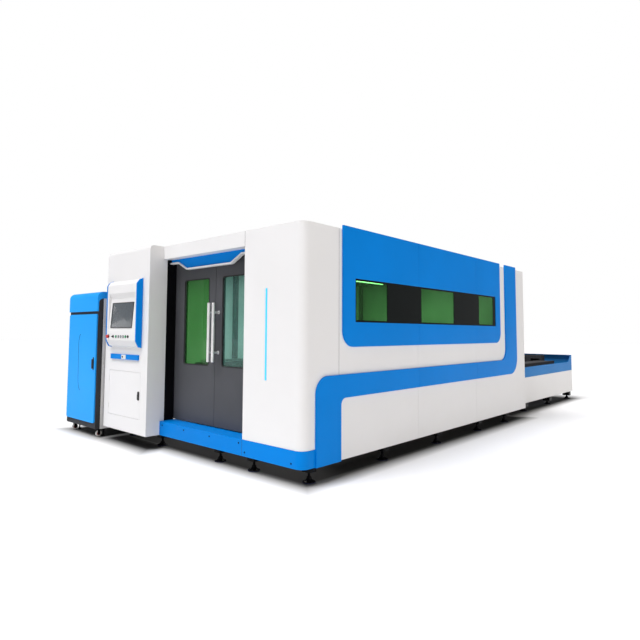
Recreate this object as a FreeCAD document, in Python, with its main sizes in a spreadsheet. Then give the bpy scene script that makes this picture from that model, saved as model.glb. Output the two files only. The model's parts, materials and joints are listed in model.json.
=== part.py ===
import FreeCAD, Part

import math
import os

import Sketcher
from FreeCAD import Placement, Rotation, Vector

# Fiber laser cutting machine with an enclosed cabin and a pallet exchange table.
# Machine axes: X = 0 is the outside of the window side and -X runs left, Y = 0 is
# the front face and +Y runs to the exchange table, Z = 0 is the floor.
# At the end every piece moves so that the origin is the middle of the floor area.

SIZES = [
    # enclosure
    ("front_col", 744, "width of the front right column"),
    ("opening_right", 648, "right jamb to the seam between the doors"),
    ("opening_left", 723, "seam between the doors to the left jamb"),
    ("cab_width", 947, "width of the control cabinet"),
    ("enc_length", 4905, "front face to rear wall"),
    ("top_height", 2196, "floor to the top of the white panels"),
    ("skirt_low", 143, "floor to the lower edge of the panels"),
    ("sill_top", 290, "floor to the top of the blue skirt"),
    ("plate", 3, "sheet metal thickness"),
    ("corner_round", 78, "radius of the column's upright corner"),
    ("column_deep", 470, "column's depth along the side"),
    ("skirt_proud", 4, "how far the skirt stands in front of the panels"),
    ("skirt_end", 154, "depth of the skirt along the side"),
    ("seam", 3, "gap between two panels, and width of a tray's groove"),
    ("groove", 1.5, "depth of the groove across a blue tray"),
    ("seam_one", 1812, "front face to the second side seam"),
    ("seam_two", 3231, "front face to the third side seam"),
    ("recess", 171, "front face to the front of the doors"),
    ("jamb_start", 48, "front face to the black part of the jamb"),
    ("header_low", 2052, "floor to the underside of the header"),
    ("header_deep", 100, "depth of the header's underside"),
    # blue plates on the side
    ("proud", 18, "thickness of the blue trays on the side"),
    ("tray_top", 2229, "floor to the top of the blue trays"),
    ("surround_front", 510, "front edge of the window surround"),
    ("surround_back", 3987, "back edge of the window surround"),
    ("surround_low", 1129, "lower edge of the window surround"),
    ("surround_round", 150, "radius of its lower corners"),
    ("window_front", 685, "front edge of the side window"),
    ("window_back", 3830, "back edge of the side window"),
    ("window_low", 1355, "lower edge of the side window"),
    ("window_high", 1757, "upper edge of the side window"),
    ("gasket", 18, "width of the window's black edge"),
    ("pane_one_end", 1215, "end of the first green pane"),
    ("pane_two_start", 1872, "start of the second green pane"),
    ("pane_two_end", 2627, "end of the second green pane"),
    ("pane_three_start", 3318, "start of the third green pane"),
    ("pane_three_end", 3757, "end of the third green pane"),
    ("band_low", 682, "lower edge of the blue band"),
    ("band_high", 887, "upper edge of the blue band"),
    ("band_foot_back", 481, "back edge of the band's front upright"),
    ("band_rise_front", 4175, "front edge of the band's rear upright"),
    ("band_rise_back", 4565, "back edge of the band's rear upright"),
    ("band_foot_low", 140, "floor to the foot of the band"),
    # doors
    ("door_thick", 40, "thickness of a sliding door"),
    ("door_high", 2060, "floor to the top of a sliding door"),
    ("door_low", 300, "floor to the lower edge of a sliding door"),
    ("door_seam", 4, "gap between the closed doors"),
    ("door_overlap", 8, "how far a closed door runs behind its jamb"),
    ("right_overlap", 75, "how far the right door runs behind the column"),
    ("door_window_in", 112, "seam to the near edge of a door window"),
    ("door_window_wide", 440, "width of a door window"),
    ("door_window_low", 910, "lower edge of a door window"),
    ("door_window_high", 1817, "upper edge of a door window"),
    ("door_window_round", 22, "corner radius of a door window"),
    ("glass", 8, "thickness of the green panes"),
    ("handle_off", 72, "door face to the middle of the handle bar"),
    ("handle_radius", 16, "radius of the handle bar"),
    ("handle_low", 951, "lower end of the handle bar"),
    ("handle_high", 1552, "upper end of the handle bar"),
    ("handle_in", 55, "right door's handle to the seam"),
    ("handle_in_left", 20, "left door's handle to the seam"),
    ("post_radius", 11, "radius of a handle post"),
    ("post_inset", 97, "handle end to the middle of its post"),
    ("slide_gap", 3, "clearance of a door in its track"),
    ("runner_high", 50, "height of the door track above a door"),
    # canopy
    ("canopy_mid_low", 1940, "lower edge of the canopy in the middle"),
    ("canopy_side_low", 2020, "lower edge of the canopy at the sides"),
    ("canopy_high", 2110, "upper edge of the canopy"),
    ("canopy_thick", 14, "thickness of the canopy tray"),
    ("canopy_flat", 312, "left jamb to the canopy's left slope"),
    ("canopy_slope", 160, "width of a slope"),
    ("trim_high", 16, "height of the canopy's white edge"),
    ("trim_deep", 42, "depth of the canopy's white edge"),
    ("strip_left", 455, "left edge of the light strip from the corner"),
    ("strip_wide", 25, "width of the light strip"),
    ("strip_low", 837, "lower end of the light strip"),
    ("strip_high", 1647, "upper end of the light strip"),
    ("strip_proud", 4, "thickness of the light strip"),
    # frame and feet
    ("base_low", 150, "floor to the underside of the base frame"),
    ("tube", 100, "side of a base tube"),
    ("base_in", 42, "panel to the base tube"),
    ("base_front", 60, "front face to the first base tube"),
    ("post", 60, "side of an upper frame tube"),
    ("foot_radius", 57.5, "radius of a foot's disc"),
    ("foot_disc", 12, "thickness of a foot's disc"),
    ("foot_neck", 20, "radius of a foot's neck"),
    ("foot_cone", 34, "height of a foot's cone"),
    ("spindle", 12, "radius of a foot's spindle"),
    ("foot_block", 46, "height of a foot's square block"),
    ("foot_one", 184, "front face to the first side foot"),
    ("foot_pitch", 1081, "distance between side feet"),
    ("foot_last", 4310, "front face to the last side foot"),
    # pallets and their tracks
    ("pallet_wide", 1560, "width of a pallet"),
    ("pallet_long", 3050, "length of a pallet"),
    ("pallet_start", 1330, "front face to the pallet in the machine"),
    ("pallet_travel", 3100, "travel of a pallet"),
    ("pallet_deep", 70, "height of a pallet frame"),
    ("pallet_side", 40, "width of a pallet frame member"),
    ("slat_high", 90, "height of a slat"),
    ("slat_thick", 4, "thickness of a slat"),
    ("slat_count", 22, "number of slats on a pallet"),
    ("tooth_pitch", 75, "distance between slat points"),
    ("tooth_deep", 34, "depth of the notches between points"),
    ("ledge", 40, "width of the ledge that carries the slats"),
    ("upper_level", 730, "floor to the upper pallet"),
    ("lower_level", 530, "floor to the lower pallet"),
    ("run_gap", 0.3, "running clearance"),
    ("track_thick", 27, "thickness of a pallet track"),
    ("track_reach", 88, "how far a track reaches under a pallet"),
    # gantry
    ("rail_clear", 220, "side of a pallet to the middle of a gantry rail"),
    ("beam_wide", 160, "width of a bed side beam"),
    ("beam_top", 880, "floor to the top of a bed side beam"),
    ("rail_high", 30, "height of a guide rail"),
    ("rail_wide", 34, "width of a guide rail"),
    ("gantry_at", 1700, "front face to the gantry at rest"),
    ("gantry_half", 110, "half the gantry beam's depth"),
    ("gantry_low", 1020, "floor to the gantry beam"),
    ("gantry_high", 1260, "floor to the gantry's top"),
    ("carriage_half", 150, "half the cross carriage's width"),
    ("carriage_deep", 60, "depth of the cross carriage"),
    ("head_radius", 48, "radius of the cutting head"),
    ("nozzle_tip", 850, "floor to the nozzle at rest"),
    # control cabinet
    ("cab_proud", 168, "how far the cabinet stands in front"),
    ("cab_round", 45, "radius of the cabinet's top front edge"),
    ("cab_floor", 250, "floor to the cabinet's own floor"),
    ("console_in", 127, "cabinet side to the console"),
    ("cheek", 20, "thickness of a console cheek"),
    ("console_top", 1842, "upper end of the console"),
    ("console_low", 1077, "lower end of the console"),
    ("console_proud", 71, "how far the cheeks stand out"),
    ("lip_high", 1688, "floor to the upper front edge of the screen niche"),
    ("face_proud", 67, "how far the console's white face stands out"),
    ("face_drop", 5, "how far the white face stays below the cheeks' edges"),
    ("niche_deep", 28, "depth of the niche at the top of the screen panel"),
    ("niche_side", 36, "cheek to the niche"),
    ("screen_top", 1632, "upper end of the screen panel"),
    ("screen_low", 1252, "where the screen panel meets the face"),
    ("desk_low", 1150, "floor to the console's lower edge"),
    ("display_wide", 484, "width of the display"),
    ("display_tall", 290, "height of the display"),
    ("display_thick", 6, "thickness of the display"),
    ("display_mid", 1438, "floor to the middle of the display"),
    ("button_row", 1198, "floor to the row of buttons"),
    ("button_first", 192, "cabinet side to the emergency stop"),
    ("key_at", 306, "cabinet side to the key switch"),
    ("button_at", 370, "cabinet side to the first push button"),
    ("button_pitch", 54, "distance between push buttons"),
    ("button_radius", 12, "radius of a push button"),
    ("button_hole", 12.05, "radius of a button's hole"),
    ("button_long", 16, "length of a push button in front of its seat"),
    ("button_back", 10, "length of a push button in its hole"),
    ("stop_radius", 20, "radius of the emergency stop's head"),
    ("panel_in", 114, "cabinet side to the lower door"),
    ("panel_wide", 700, "width of the lower door"),
    ("panel_low", 307, "lower edge of the lower door"),
    ("panel_high", 807, "upper edge of the lower door"),
    ("panel_gap", 2, "gap around the doors and the drawer"),
    ("panel_thick", 18, "thickness of the lower door"),
    ("knuckle", 30, "length of a hinge knuckle"),
    ("knuckle_radius", 5, "radius of a hinge knuckle"),
    ("hinge_in", 80, "end of the lower door to a hinge"),
    ("boss_radius", 11, "radius of the round boss on a lock bar or a swing handle"),
    ("boss_proud", 3, "how far the lock bar's boss stands out"),
    ("drawer_in", 157, "cabinet side to the keyboard drawer"),
    ("drawer_wide", 618, "width of the keyboard drawer"),
    ("drawer_low", 941, "lower edge of the keyboard drawer"),
    ("drawer_high", 998, "upper edge of the keyboard drawer"),
    ("drawer_proud", 17, "how far the drawer's front stands out"),
    ("drawer_deep", 240, "depth of the keyboard tray"),
    # laser source cabinet
    ("src_gap", 68, "control cabinet to the source cabinet"),
    ("src_width", 785, "width of the source cabinet"),
    ("src_front", 236, "how far its dark surround stands in front"),
    ("src_rim_deep", 58, "depth of the dark surround"),
    ("src_depth", 828, "depth of the white body"),
    ("src_low", 98, "floor to the source cabinet"),
    ("src_body_top", 1650, "floor to the top of the white body"),
    ("src_top", 1733, "floor to the top of the blue cap"),
    ("src_round", 70, "outer radius of the cap and the surround"),
    ("src_cap_low", 1496, "lower edge of the cap"),
    ("src_cap_thick", 16, "how far cap and door stand in front"),
    ("src_door_low", 170, "lower edge of the blue door"),
    ("src_door_high", 1462, "upper edge of the blue door"),
    ("src_door_in", 15, "surround's side to the door"),
    ("caster_in", 70, "cabinet side to a caster"),
    ("caster_front", 20, "surround's back to a front caster"),
    ("caster_rear", 90, "back of the cabinet to a rear caster"),
    ("pad_back", 60, "caster wheel to its levelling pad"),
    ("wheel_radius", 36, "radius of a caster wheel"),
    ("wheel_wide", 24, "width of a caster wheel"),
    ("wheel_bore", 6, "radius of a caster wheel's bore"),
    ("axle_gap", 0.1, "clearance of a caster wheel on its axle"),
    ("wheel_lift", 2, "floor to a caster wheel"),
    # exchange table
    ("table_in", 185, "window side to the table's cover"),
    ("table_end", 7900, "front face to the end of the table"),
    ("table_low", 147, "floor to the lower edge of the table covers"),
    ("table_rail_low", 550, "floor to the blue rail"),
    ("table_rail_high", 705, "floor to the top of the blue rail"),
    ("end_panel_high", 842, "floor to the top of the end panel"),
    ("rail_flange", 60, "width of the blue rail's top flange"),
    ("table_foot_one", 5541, "front face to the table's first foot"),
    ("table_foot_two", 6700, "front face to the table's second foot"),
    ("table_foot_three", 7825, "front face to the table's third foot"),
    ("table_foot_in", 85, "table cover to the middle of a foot"),
    ("drive_start", 7500, "front face to the chain drive housing"),
    ("drive_deep", 160, "depth of the chain drive housing"),
    ("drive_low", 560, "floor to the chain drive housing"),
    ("drive_high", 825, "top of the chain drive housing"),
]


class Size:
    """A length from the sheet, or one worked out from some: its expression and its value."""

    def __init__(self, text, value):
        self.text = text
        self.value = float(value)

    def __add__(self, other):
        other = as_size(other)
        return Size(f"({self.text} + {other.text})", self.value + other.value)

    def __sub__(self, other):
        other = as_size(other)
        return Size(f"({self.text} - {other.text})", self.value - other.value)

    def __mul__(self, other):
        other = as_size(other)
        return Size(f"({self.text} * {other.text})", self.value * other.value)

    def __rmul__(self, other):
        return self * other

    def __truediv__(self, other):
        other = as_size(other)
        return Size(f"({self.text} / {other.text})", self.value / other.value)

    def __neg__(self):
        return Size(f"(0 - {self.text})", -self.value)

    def __radd__(self, other):
        return as_size(other) + self

    def __rsub__(self, other):
        return as_size(other) - self


def as_size(number):
    """Let plain numbers stand beside sizes."""
    return number if isinstance(number, Size) else Size(repr(float(number)), number)


class Dimensions:
    """The sheet's sizes by name."""


doc = FreeCAD.newDocument("laser_cutter")
sheet = doc.addObject("Spreadsheet::Sheet", "Dims")
D = Dimensions()
for row, (alias, number, meaning) in enumerate(SIZES, start=1):
    sheet.set(f"A{row}", str(number))
    sheet.setAlias(f"A{row}", alias)
    sheet.set(f"B{row}", meaning)
    setattr(D, alias, Size(f"Dims.{alias}", number))
doc.recompute()

# ---------------------------------------------------------------- shared places
FLUSH = as_size(0)
LEFT_JAMB = -(D.front_col + D.opening_right + D.opening_left)
RIGHT_JAMB = -D.front_col
DOOR_MID = -(D.front_col + D.opening_right)
LEFT_SIDE = LEFT_JAMB - D.cab_width
BED_MID = DOOR_MID
BEAM_IN = D.pallet_wide / 2 + D.rail_clear
SRC_RIGHT = LEFT_SIDE - D.src_gap
SRC_LEFT = SRC_RIGHT - D.src_width
CLIP = as_size(12)
HANDLE_PROUD = as_size(24)
BUTTON_SEAT = as_size(18)
FRONT_MOST = -(D.src_front + D.src_cap_thick + HANDLE_PROUD)
ORIGIN_X = (D.proud + SRC_LEFT - CLIP) / 2
ORIGIN_Y = (D.table_end + FRONT_MOST) / 2

NODES = {}


# ---------------------------------------------------------------- helpers
def bind(thing, **sizes):
    """Tie properties of an object to the sheet."""
    for name, size in sizes.items():
        size = as_size(size)
        setattr(thing, name, size.value)
        thing.setExpression(name, size.text)


def place(thing, x, y, z, turn=None):
    """Put an object at a bound place, turned if asked."""
    if turn is not None:
        thing.Placement = Placement(Vector(0, 0, 0), turn)
    for letter, size in zip("xyz", (x, y, z)):
        thing.setExpression(f"Placement.Base.{letter}", as_size(size).text)


def box(x0, x1, y0, y1, z0, z1, name="block"):
    """A block between two corners."""
    thing = doc.addObject("Part::Box", name)
    bind(thing, Length=x1 - x0, Width=y1 - y0, Height=z1 - z0)
    place(thing, x0, y0, z0)
    return thing


AXES = {
    "x": Rotation(Vector(0, 1, 0), 90),
    "y": Rotation(Vector(1, 0, 0), -90),
    "z": Rotation(),
    "-y": Rotation(Vector(1, 0, 0), 90),
}


def cylinder(x, y, z, axis, radius, length, name="rod"):
    """A cylinder that starts at a point and runs along an axis."""
    thing = doc.addObject("Part::Cylinder", name)
    bind(thing, Radius=radius, Height=length)
    place(thing, x, y, z, AXES[axis])
    return thing


def cone(x, y, z, axis, radius, end_radius, length, name="taper"):
    """A cone that starts at a point and runs along an axis."""
    thing = doc.addObject("Part::Cone", name)
    bind(thing, Radius1=radius, Radius2=end_radius, Height=length)
    place(thing, x, y, z, AXES[axis])
    return thing


def fuse(parts, name="joined"):
    """Weld blocks into one solid."""
    thing = doc.addObject("Part::MultiFuse", name)
    thing.Shapes = parts
    thing.Refine = True
    return thing


def cut(base, tools, name="cut"):
    """Take tools away from a solid."""
    thing = doc.addObject("Part::Cut", name)
    thing.Base = base
    thing.Tool = tools[0] if len(tools) == 1 else fuse(tools, name + "_tools")
    return thing


def group(parts, name="set"):
    """Keep solids apart in one piece of the parts list."""
    thing = doc.addObject("Part::Compound", name)
    thing.Links = parts
    return thing


def node(name, thing, offset_x=0, offset_y=0, offset_z=0):
    """Name a finished piece and move it to the row's origin."""
    thing.Label = name
    turn = thing.Placement.Rotation
    place(thing, offset_x - ORIGIN_X, offset_y - ORIGIN_Y, as_size(offset_z), turn)
    NODES[name] = thing


def box_node(name, x0, x1, y0, y1, z0, z1):
    """A piece that is one block."""
    node(name, fuse_one(box(x0, x1, y0, y1, z0, z1)))


def fuse_one(thing):
    """A one-piece group, so that its place can be set apart from the block's own."""
    return group([thing])


def new_sketch(body, plane):
    """A sketch on one of its body's own origin planes."""
    sketch = body.newObject("Sketcher::SketchObject", body.Name + "_sketch")
    found = [part for part in body.Origin.OriginFeatures if part.Role == plane]
    sketch.AttachmentSupport = [(found[0], "")]
    sketch.MapMode = "FlatFace"
    return sketch


def tie(sketch, kind, *rest):
    """Add a constraint whose last value is a bound size."""
    size = as_size(rest[-1])
    index = sketch.addConstraint(Sketcher.Constraint(kind, *rest[:-1], size.value))
    label = f"{kind.lower()}_{index}"
    sketch.renameConstraint(index, label)
    sketch.setExpression(f"Constraints.{label}", size.text)


def polygon(sketch, points):
    """A closed outline of straight lines through bound points."""
    flat = [Vector(as_size(u).value, as_size(v).value, 0) for u, v in points]
    count = len(points)
    first = sketch.GeometryCount
    for i in range(count):
        sketch.addGeometry(Part.LineSegment(flat[i], flat[(i + 1) % count]))
    for i in range(count):
        line = first + i
        after = first + (i + 1) % count
        sketch.addConstraint(Sketcher.Constraint("Coincident", line, 2, after, 1))
        tie(sketch, "DistanceX", -1, 1, line, 1, points[i][0])
        tie(sketch, "DistanceY", -1, 1, line, 1, points[i][1])


def rounded(sketch, corners):
    """A closed outline of level and upright lines; each corner is (u, v, radius)."""
    count = len(corners)
    spots = [Vector(as_size(u).value, as_size(v).value, 0) for u, v, _ in corners]
    radii = [as_size(corner[2]).value for corner in corners]
    ahead = [(spots[(i + 1) % count] - spots[i]).normalize() for i in range(count)]
    lines = []
    for i in range(count):
        start = spots[i] + ahead[i] * radii[i]
        end = spots[(i + 1) % count] - ahead[i] * radii[(i + 1) % count]
        lines.append(sketch.addGeometry(Part.LineSegment(start, end)))
        level = abs(ahead[i].x) > abs(ahead[i].y)
        kind = "Horizontal" if level else "Vertical"
        sketch.addConstraint(Sketcher.Constraint(kind, lines[i]))
        bound = corners[i][1] if level else corners[i][0]
        tie(sketch, "DistanceY" if level else "DistanceX", -1, 1, lines[i], 1, bound)
    for i in range(count):
        before = lines[i - 1]
        if radii[i] == 0:
            sketch.addConstraint(Sketcher.Constraint("Coincident", before, 2, lines[i], 1))
            continue
        centre = spots[i] + (ahead[i] - ahead[i - 1]) * radii[i]
        left_turn = ahead[i - 1].x * ahead[i].y - ahead[i - 1].y * ahead[i].x > 0
        enter = spots[i] - ahead[i - 1] * radii[i] - centre
        leave = spots[i] + ahead[i] * radii[i] - centre
        first, last = (enter, leave) if left_turn else (leave, enter)
        start = math.atan2(first.y, first.x)
        circle = Part.Circle(centre, Vector(0, 0, 1), radii[i])
        arc = sketch.addGeometry(Part.ArcOfCircle(circle, start, start + math.pi / 2))
        near, far = (1, 2) if left_turn else (2, 1)
        sketch.addConstraint(Sketcher.Constraint("Tangent", before, 2, arc, near))
        sketch.addConstraint(Sketcher.Constraint("Tangent", arc, far, lines[i], 1))
        tie(sketch, "Radius", arc, corners[i][2])


def padded_body(name, plane, length, outlines):
    """A body padded from outlines; the pad runs along the plane's normal."""
    body = doc.addObject("PartDesign::Body", name)
    sketch = new_sketch(body, plane)
    for draw, points in outlines:
        draw(sketch, points)
    pad = body.newObject("PartDesign::Pad", body.Name + "_pad")
    pad.Profile = sketch
    bind(pad, Length=length)
    return body


def rectangle(u0, u1, v0, v1, radius=0):
    """The corners of an upright rectangle, all of one radius."""
    return [(u0, v0, radius), (u1, v0, radius), (u1, v1, radius), (u0, v1, radius)]


# ---------------------------------------------------------------- frame and feet
def foot(x, y, top, block):
    """A levelling foot: disc, cone and spindle, under a square block if it has one."""
    radius = D.foot_radius
    parts = [
        cylinder(x, y, 0, "z", radius, D.foot_disc),
        cone(x, y, D.foot_disc, "z", radius * 0.8, D.foot_neck, D.foot_cone),
        cylinder(x, y, D.foot_disc, "z", D.spindle, top - D.foot_disc),
    ]
    if block:
        half = D.foot_block * 0.9
        parts.append(box(x - half, x + half, y - half, y + half, top - D.foot_block, top))
    return fuse(parts, "foot")


def side_foot_places():
    """Distances from the front face to the feet on one side of the enclosure."""
    places = [D.foot_one + D.foot_pitch * i for i in range(4)]
    return places + [D.foot_last]


def build_feet():
    """All levelling feet of the enclosure and of the exchange table."""
    inner = D.base_in + D.tube / 2
    feet = []
    for y in side_foot_places():
        feet.append(foot(-inner, y, D.base_low, False))
        feet.append(foot(LEFT_SIDE + inner, y, D.base_low, False))
    for x in (RIGHT_JAMB + 42, DOOR_MID + 200, LEFT_JAMB - 108):
        feet.append(foot(x, D.base_front + D.tube / 2, D.base_low, False))
    near = -(D.table_in + D.table_foot_in)
    for y in (D.table_foot_one, D.table_foot_two, D.table_foot_three):
        feet.append(foot(near, y, D.base_low, True))
        feet.append(foot(BED_MID * 2 - near, y, D.base_low, True))
    node("levelling_feet", group(feet))


def tracks(y0, y1, inner):
    """Upper and lower pallet tracks on both sides, as ledges of the side beams."""
    half = D.pallet_wide / 2
    ledges = []
    for level in (D.upper_level, D.lower_level):
        top = level - D.run_gap
        low = top - D.track_thick
        reach = half - D.track_reach
        ledges.append(box(BED_MID + reach, BED_MID + inner, y0, y1, low, top))
        ledges.append(box(BED_MID - inner, BED_MID - reach, y0, y1, low, top))
    return ledges


def build_bed():
    """The frame's members, face to face: base, bed side beams, pallet tracks, upper frame."""
    low = D.base_low
    high = D.base_low + D.tube
    near = -D.base_in
    far = LEFT_SIDE + D.base_in
    back = D.enc_length - 25
    wide = D.tube
    front = D.base_front
    parts = [
        box(near - wide, near, front, back, low, high),
        box(far, far + wide, front, back, low, high),
    ]
    crossings = [front + wide / 2] + side_foot_places()[1:] + [back - wide / 2]
    for y in crossings:
        parts.append(box(far + wide, near - wide, y - wide / 2, y + wide / 2, low, high))
    half = D.beam_wide / 2
    start = D.pallet_start - 630
    for middle in (BED_MID + BEAM_IN, BED_MID - BEAM_IN):
        parts.append(box(middle - half, middle + half, start, back, high, D.beam_top))
    parts += tracks(start + 500, back, BEAM_IN - half)
    post = D.post
    roof = D.top_height - D.plate
    ends = (D.column_deep, D.seam_one, D.seam_two, back)
    sides = ((-D.plate - post, -D.plate), (LEFT_SIDE + D.plate, LEFT_SIDE + D.plate + post))
    for x0, x1 in sides:
        for y in ends:
            parts.append(box(x0, x1, y - post, y, high, roof - post))
        parts.append(box(x0, x1, ends[0] - post, back, roof - post, roof))
    for y in ends:
        parts.append(box(sides[1][1], sides[0][0], y - post, y, roof - post, roof))
    node("bed_frame", group(parts, "bed"))


def build_rails():
    """Guide rails and racks on the bed side beams."""
    start = D.pallet_start - 600
    end = D.enc_length - 300
    half = D.rail_wide / 2
    parts = []
    for side in (1, -1):
        middle = BED_MID + BEAM_IN * side
        parts.append(box(middle - half, middle + half, start, end, D.beam_top,
                         D.beam_top + D.rail_high, "rail"))
        rack = middle - 52 * side
        parts.append(box(rack - 14, rack + 14, start, end, D.beam_top, D.beam_top + 28, "rack"))
    node("guide_rails", group(parts))


# ---------------------------------------------------------------- enclosure
def corner_wall(name, end, proud, low, high):
    """A bent sheet round the front right corner: front, rounded corner and side."""
    out = as_size(proud)
    inn = D.plate - proud
    radius = D.corner_round
    body = padded_body(name, "XY_Plane", high - low, [(rounded, [
        (RIGHT_JAMB, -out, 0),
        (out, -out, radius + out),
        (out, end, 0),
        (-inn, end, 0),
        (-inn, inn, radius - inn),
        (RIGHT_JAMB, inn, 0),
    ])])
    place(body, 0, 0, low)
    return body


def build_skirts():
    """The blue skirt round the corner, and the sill under the doors with its back lip."""
    left, right = LEFT_JAMB, RIGHT_JAMB
    front = -D.skirt_proud
    back = D.recess + D.door_thick + 14
    sheet_metal = D.plate
    parts = [
        box(left, right, front, front + sheet_metal, D.skirt_low, D.sill_top),
        box(left, right, front, back, D.sill_top - sheet_metal, D.sill_top),
        box(left, right, back - sheet_metal, back, D.base_low + D.tube, D.sill_top),
    ]
    skirt = corner_wall("corner_skirt", D.skirt_end - 1, D.skirt_proud, D.skirt_low, D.sill_top)
    node("front_skirts", group([fuse(parts), skirt]))


def build_header():
    """The white beam over the doors: front, underside and end plates."""
    left, right = LEFT_JAMB, RIGHT_JAMB
    low, high = D.header_low, D.top_height
    thick = D.plate
    parts = [
        box(left, right, FLUSH, thick, low, high),
        box(left, right, FLUSH, D.header_deep, low, low + thick),
        box(left, left + thick, FLUSH, D.header_deep, low, high - thick),
        box(right - thick, right, FLUSH, D.header_deep, low, high - thick),
    ]
    node("header_beam", fuse(parts))


def canopy_edge(drop):
    """The canopy's lower edge from left to right, lowered by a drop."""
    left = LEFT_JAMB + D.canopy_flat - D.canopy_slope / 2
    right = RIGHT_JAMB - (D.canopy_flat - D.canopy_slope / 2)
    return [
        (LEFT_JAMB + D.plate, D.canopy_side_low - drop),
        (left - D.canopy_slope / 2, D.canopy_side_low - drop),
        (left + D.canopy_slope / 2, D.canopy_mid_low - drop),
        (right - D.canopy_slope / 2, D.canopy_mid_low - drop),
        (right + D.canopy_slope / 2, D.canopy_side_low - drop),
        (RIGHT_JAMB - D.plate, D.canopy_side_low - drop),
    ]


def build_canopy():
    """The blue canopy behind the header and the white strip along its edge."""
    top = [(RIGHT_JAMB - D.plate, D.canopy_high), (LEFT_JAMB + D.plate, D.canopy_high)]
    fascia = padded_body("canopy_fascia", "XZ_Plane", D.canopy_thick,
                         [(polygon, canopy_edge(0) + top)])
    node("canopy_fascia", fascia, offset_y=D.header_deep + D.canopy_thick)
    edge = canopy_edge(D.trim_high) + canopy_edge(0)[::-1]
    trim = padded_body("canopy_trim", "XZ_Plane", D.trim_deep, [(polygon, edge)])
    node("canopy_trim", trim, offset_y=D.header_deep + D.canopy_thick + 10)


def build_door_surround():
    """Black jambs, the track channel over the doors and the plate that ties them."""
    thick = D.plate
    back = D.recess - D.slide_gap
    far = back + D.door_thick + D.slide_gap * 2 + thick
    low, high = D.sill_top, D.door_high + D.runner_high
    start, end = LEFT_JAMB - D.opening_left, -D.post
    channel_low = D.door_high - 20
    channel = fuse([
        box(start, end, back - thick, back, channel_low, high),
        box(start, end, back - thick, far, high - thick, high),
        box(start, end, far - thick, far, channel_low, high),
    ])
    parts = [
        box(LEFT_JAMB, LEFT_JAMB + thick, D.jamb_start, back - thick, low, D.header_low),
        box(RIGHT_JAMB - thick, RIGHT_JAMB, thick, back - thick, low, D.header_low),
        box(LEFT_JAMB, RIGHT_JAMB, back - thick, back, D.canopy_side_low + 10, channel_low),
        channel,
    ]
    node("door_surround", group(parts))


def build_side_panels():
    """The three white panels of the window side, cut out behind the window."""
    edges = (D.column_deep, D.seam_one, D.seam_two, D.enc_length)
    window = (-2 * D.plate, D.plate, D.window_front + D.gasket, D.window_back - D.gasket,
              D.window_low + D.gasket, D.window_high - D.gasket)
    panels = []
    for y0, y1 in zip(edges, edges[1:]):
        sheet_metal = box(-D.plate, FLUSH, y0, y1 - D.seam, D.skirt_low, D.top_height)
        panels.append(cut(sheet_metal, [box(*window)]))
    node("side_panels", group(panels))


def tray_grooves():
    """Shallow grooves that carry the panels' seams across the blue trays."""
    return [box(D.proud - D.groove, D.proud + D.groove, y - D.seam, y, FLUSH, D.tray_top + D.seam)
            for y in (D.seam_one, D.seam_two)]


def build_window():
    """The blue window surround, its black frame and the green panes."""
    hole = rectangle(D.window_front, D.window_back, D.window_low, D.window_high)
    surround = padded_body("window_surround", "YZ_Plane", D.proud, [
        (rounded, [
            (D.surround_front, D.surround_low, D.surround_round),
            (D.surround_back, D.surround_low, D.surround_round),
            (D.surround_back, D.tray_top, 0),
            (D.surround_front, D.tray_top, 0),
        ]),
        (rounded, hole),
    ])
    node("window_surround", cut(surround, tray_grooves()))
    low, high = D.window_low + D.gasket, D.window_high - D.gasket
    spans = (
        (D.window_front + D.gasket, D.pane_one_end),
        (D.pane_two_start, D.pane_two_end),
        (D.pane_three_start, D.pane_three_end),
    )
    openings = [(rounded, rectangle(y0, y1, low, high)) for y0, y1 in spans]
    frame = padded_body("window_gasket", "YZ_Plane", D.proud - 6, [(rounded, hole)] + openings)
    node("window_gasket", frame)
    panes = [box(as_size(3), 3 + D.glass * 0.75, y0, y1, low, high) for y0, y1 in spans]
    node("side_window", group(panes))


def build_band():
    """The blue band: up at the front, along the side and up again at the back."""
    body = padded_body("side_band", "YZ_Plane", D.proud, [(rounded, [
        (D.skirt_end, D.band_foot_low, 0),
        (D.band_foot_back, D.band_foot_low, 0),
        (D.band_foot_back, D.band_low, 60),
        (D.band_rise_back, D.band_low, 230),
        (D.band_rise_back, D.tray_top, 0),
        (D.band_rise_front, D.tray_top, 0),
        (D.band_rise_front, D.band_high, 160),
        (D.skirt_end, D.band_high, 150),
    ])])
    node("side_band", cut(body, tray_grooves()))


def build_plain_panels():
    """Left side, roof and rear wall."""
    thick = D.plate
    low, high = D.skirt_low, D.top_height
    edges = (D.recess, D.seam_one, D.seam_two, D.enc_length)
    panels = [box(LEFT_SIDE, LEFT_SIDE + thick, y0, y1 - D.seam, low, high)
              for y0, y1 in zip(edges, edges[1:])]
    inner_left, inner_right = LEFT_SIDE + thick, -thick
    front = D.recess - D.slide_gap
    corner = padded_body("roof_front", "XY_Plane", thick, [(rounded, [
        (LEFT_JAMB, thick, 0), (inner_right, thick, D.corner_round),
        (inner_right, front, 0), (LEFT_JAMB, front, 0),
    ])])
    place(corner, 0, 0, high - thick)
    roof = [
        corner,
        box(inner_left, inner_right, front + 1, D.seam_one - D.seam, high - thick, high),
        box(inner_left, inner_right, D.seam_one, D.seam_two - D.seam, high - thick, high),
        box(inner_left, inner_right, D.seam_two, D.enc_length - thick, high - thick, high),
    ]
    node("cover_panels", group(panels + roof))
    wall = box(inner_left, inner_right, D.enc_length - thick, D.enc_length, low, high)
    half = D.pallet_wide / 2 + 60
    hole = box(BED_MID - half, BED_MID + half, D.enc_length - 50, D.enc_length + 50,
               D.lower_level - 60, D.upper_level + 260)
    node("rear_wall", cut(wall, [hole]))


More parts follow.
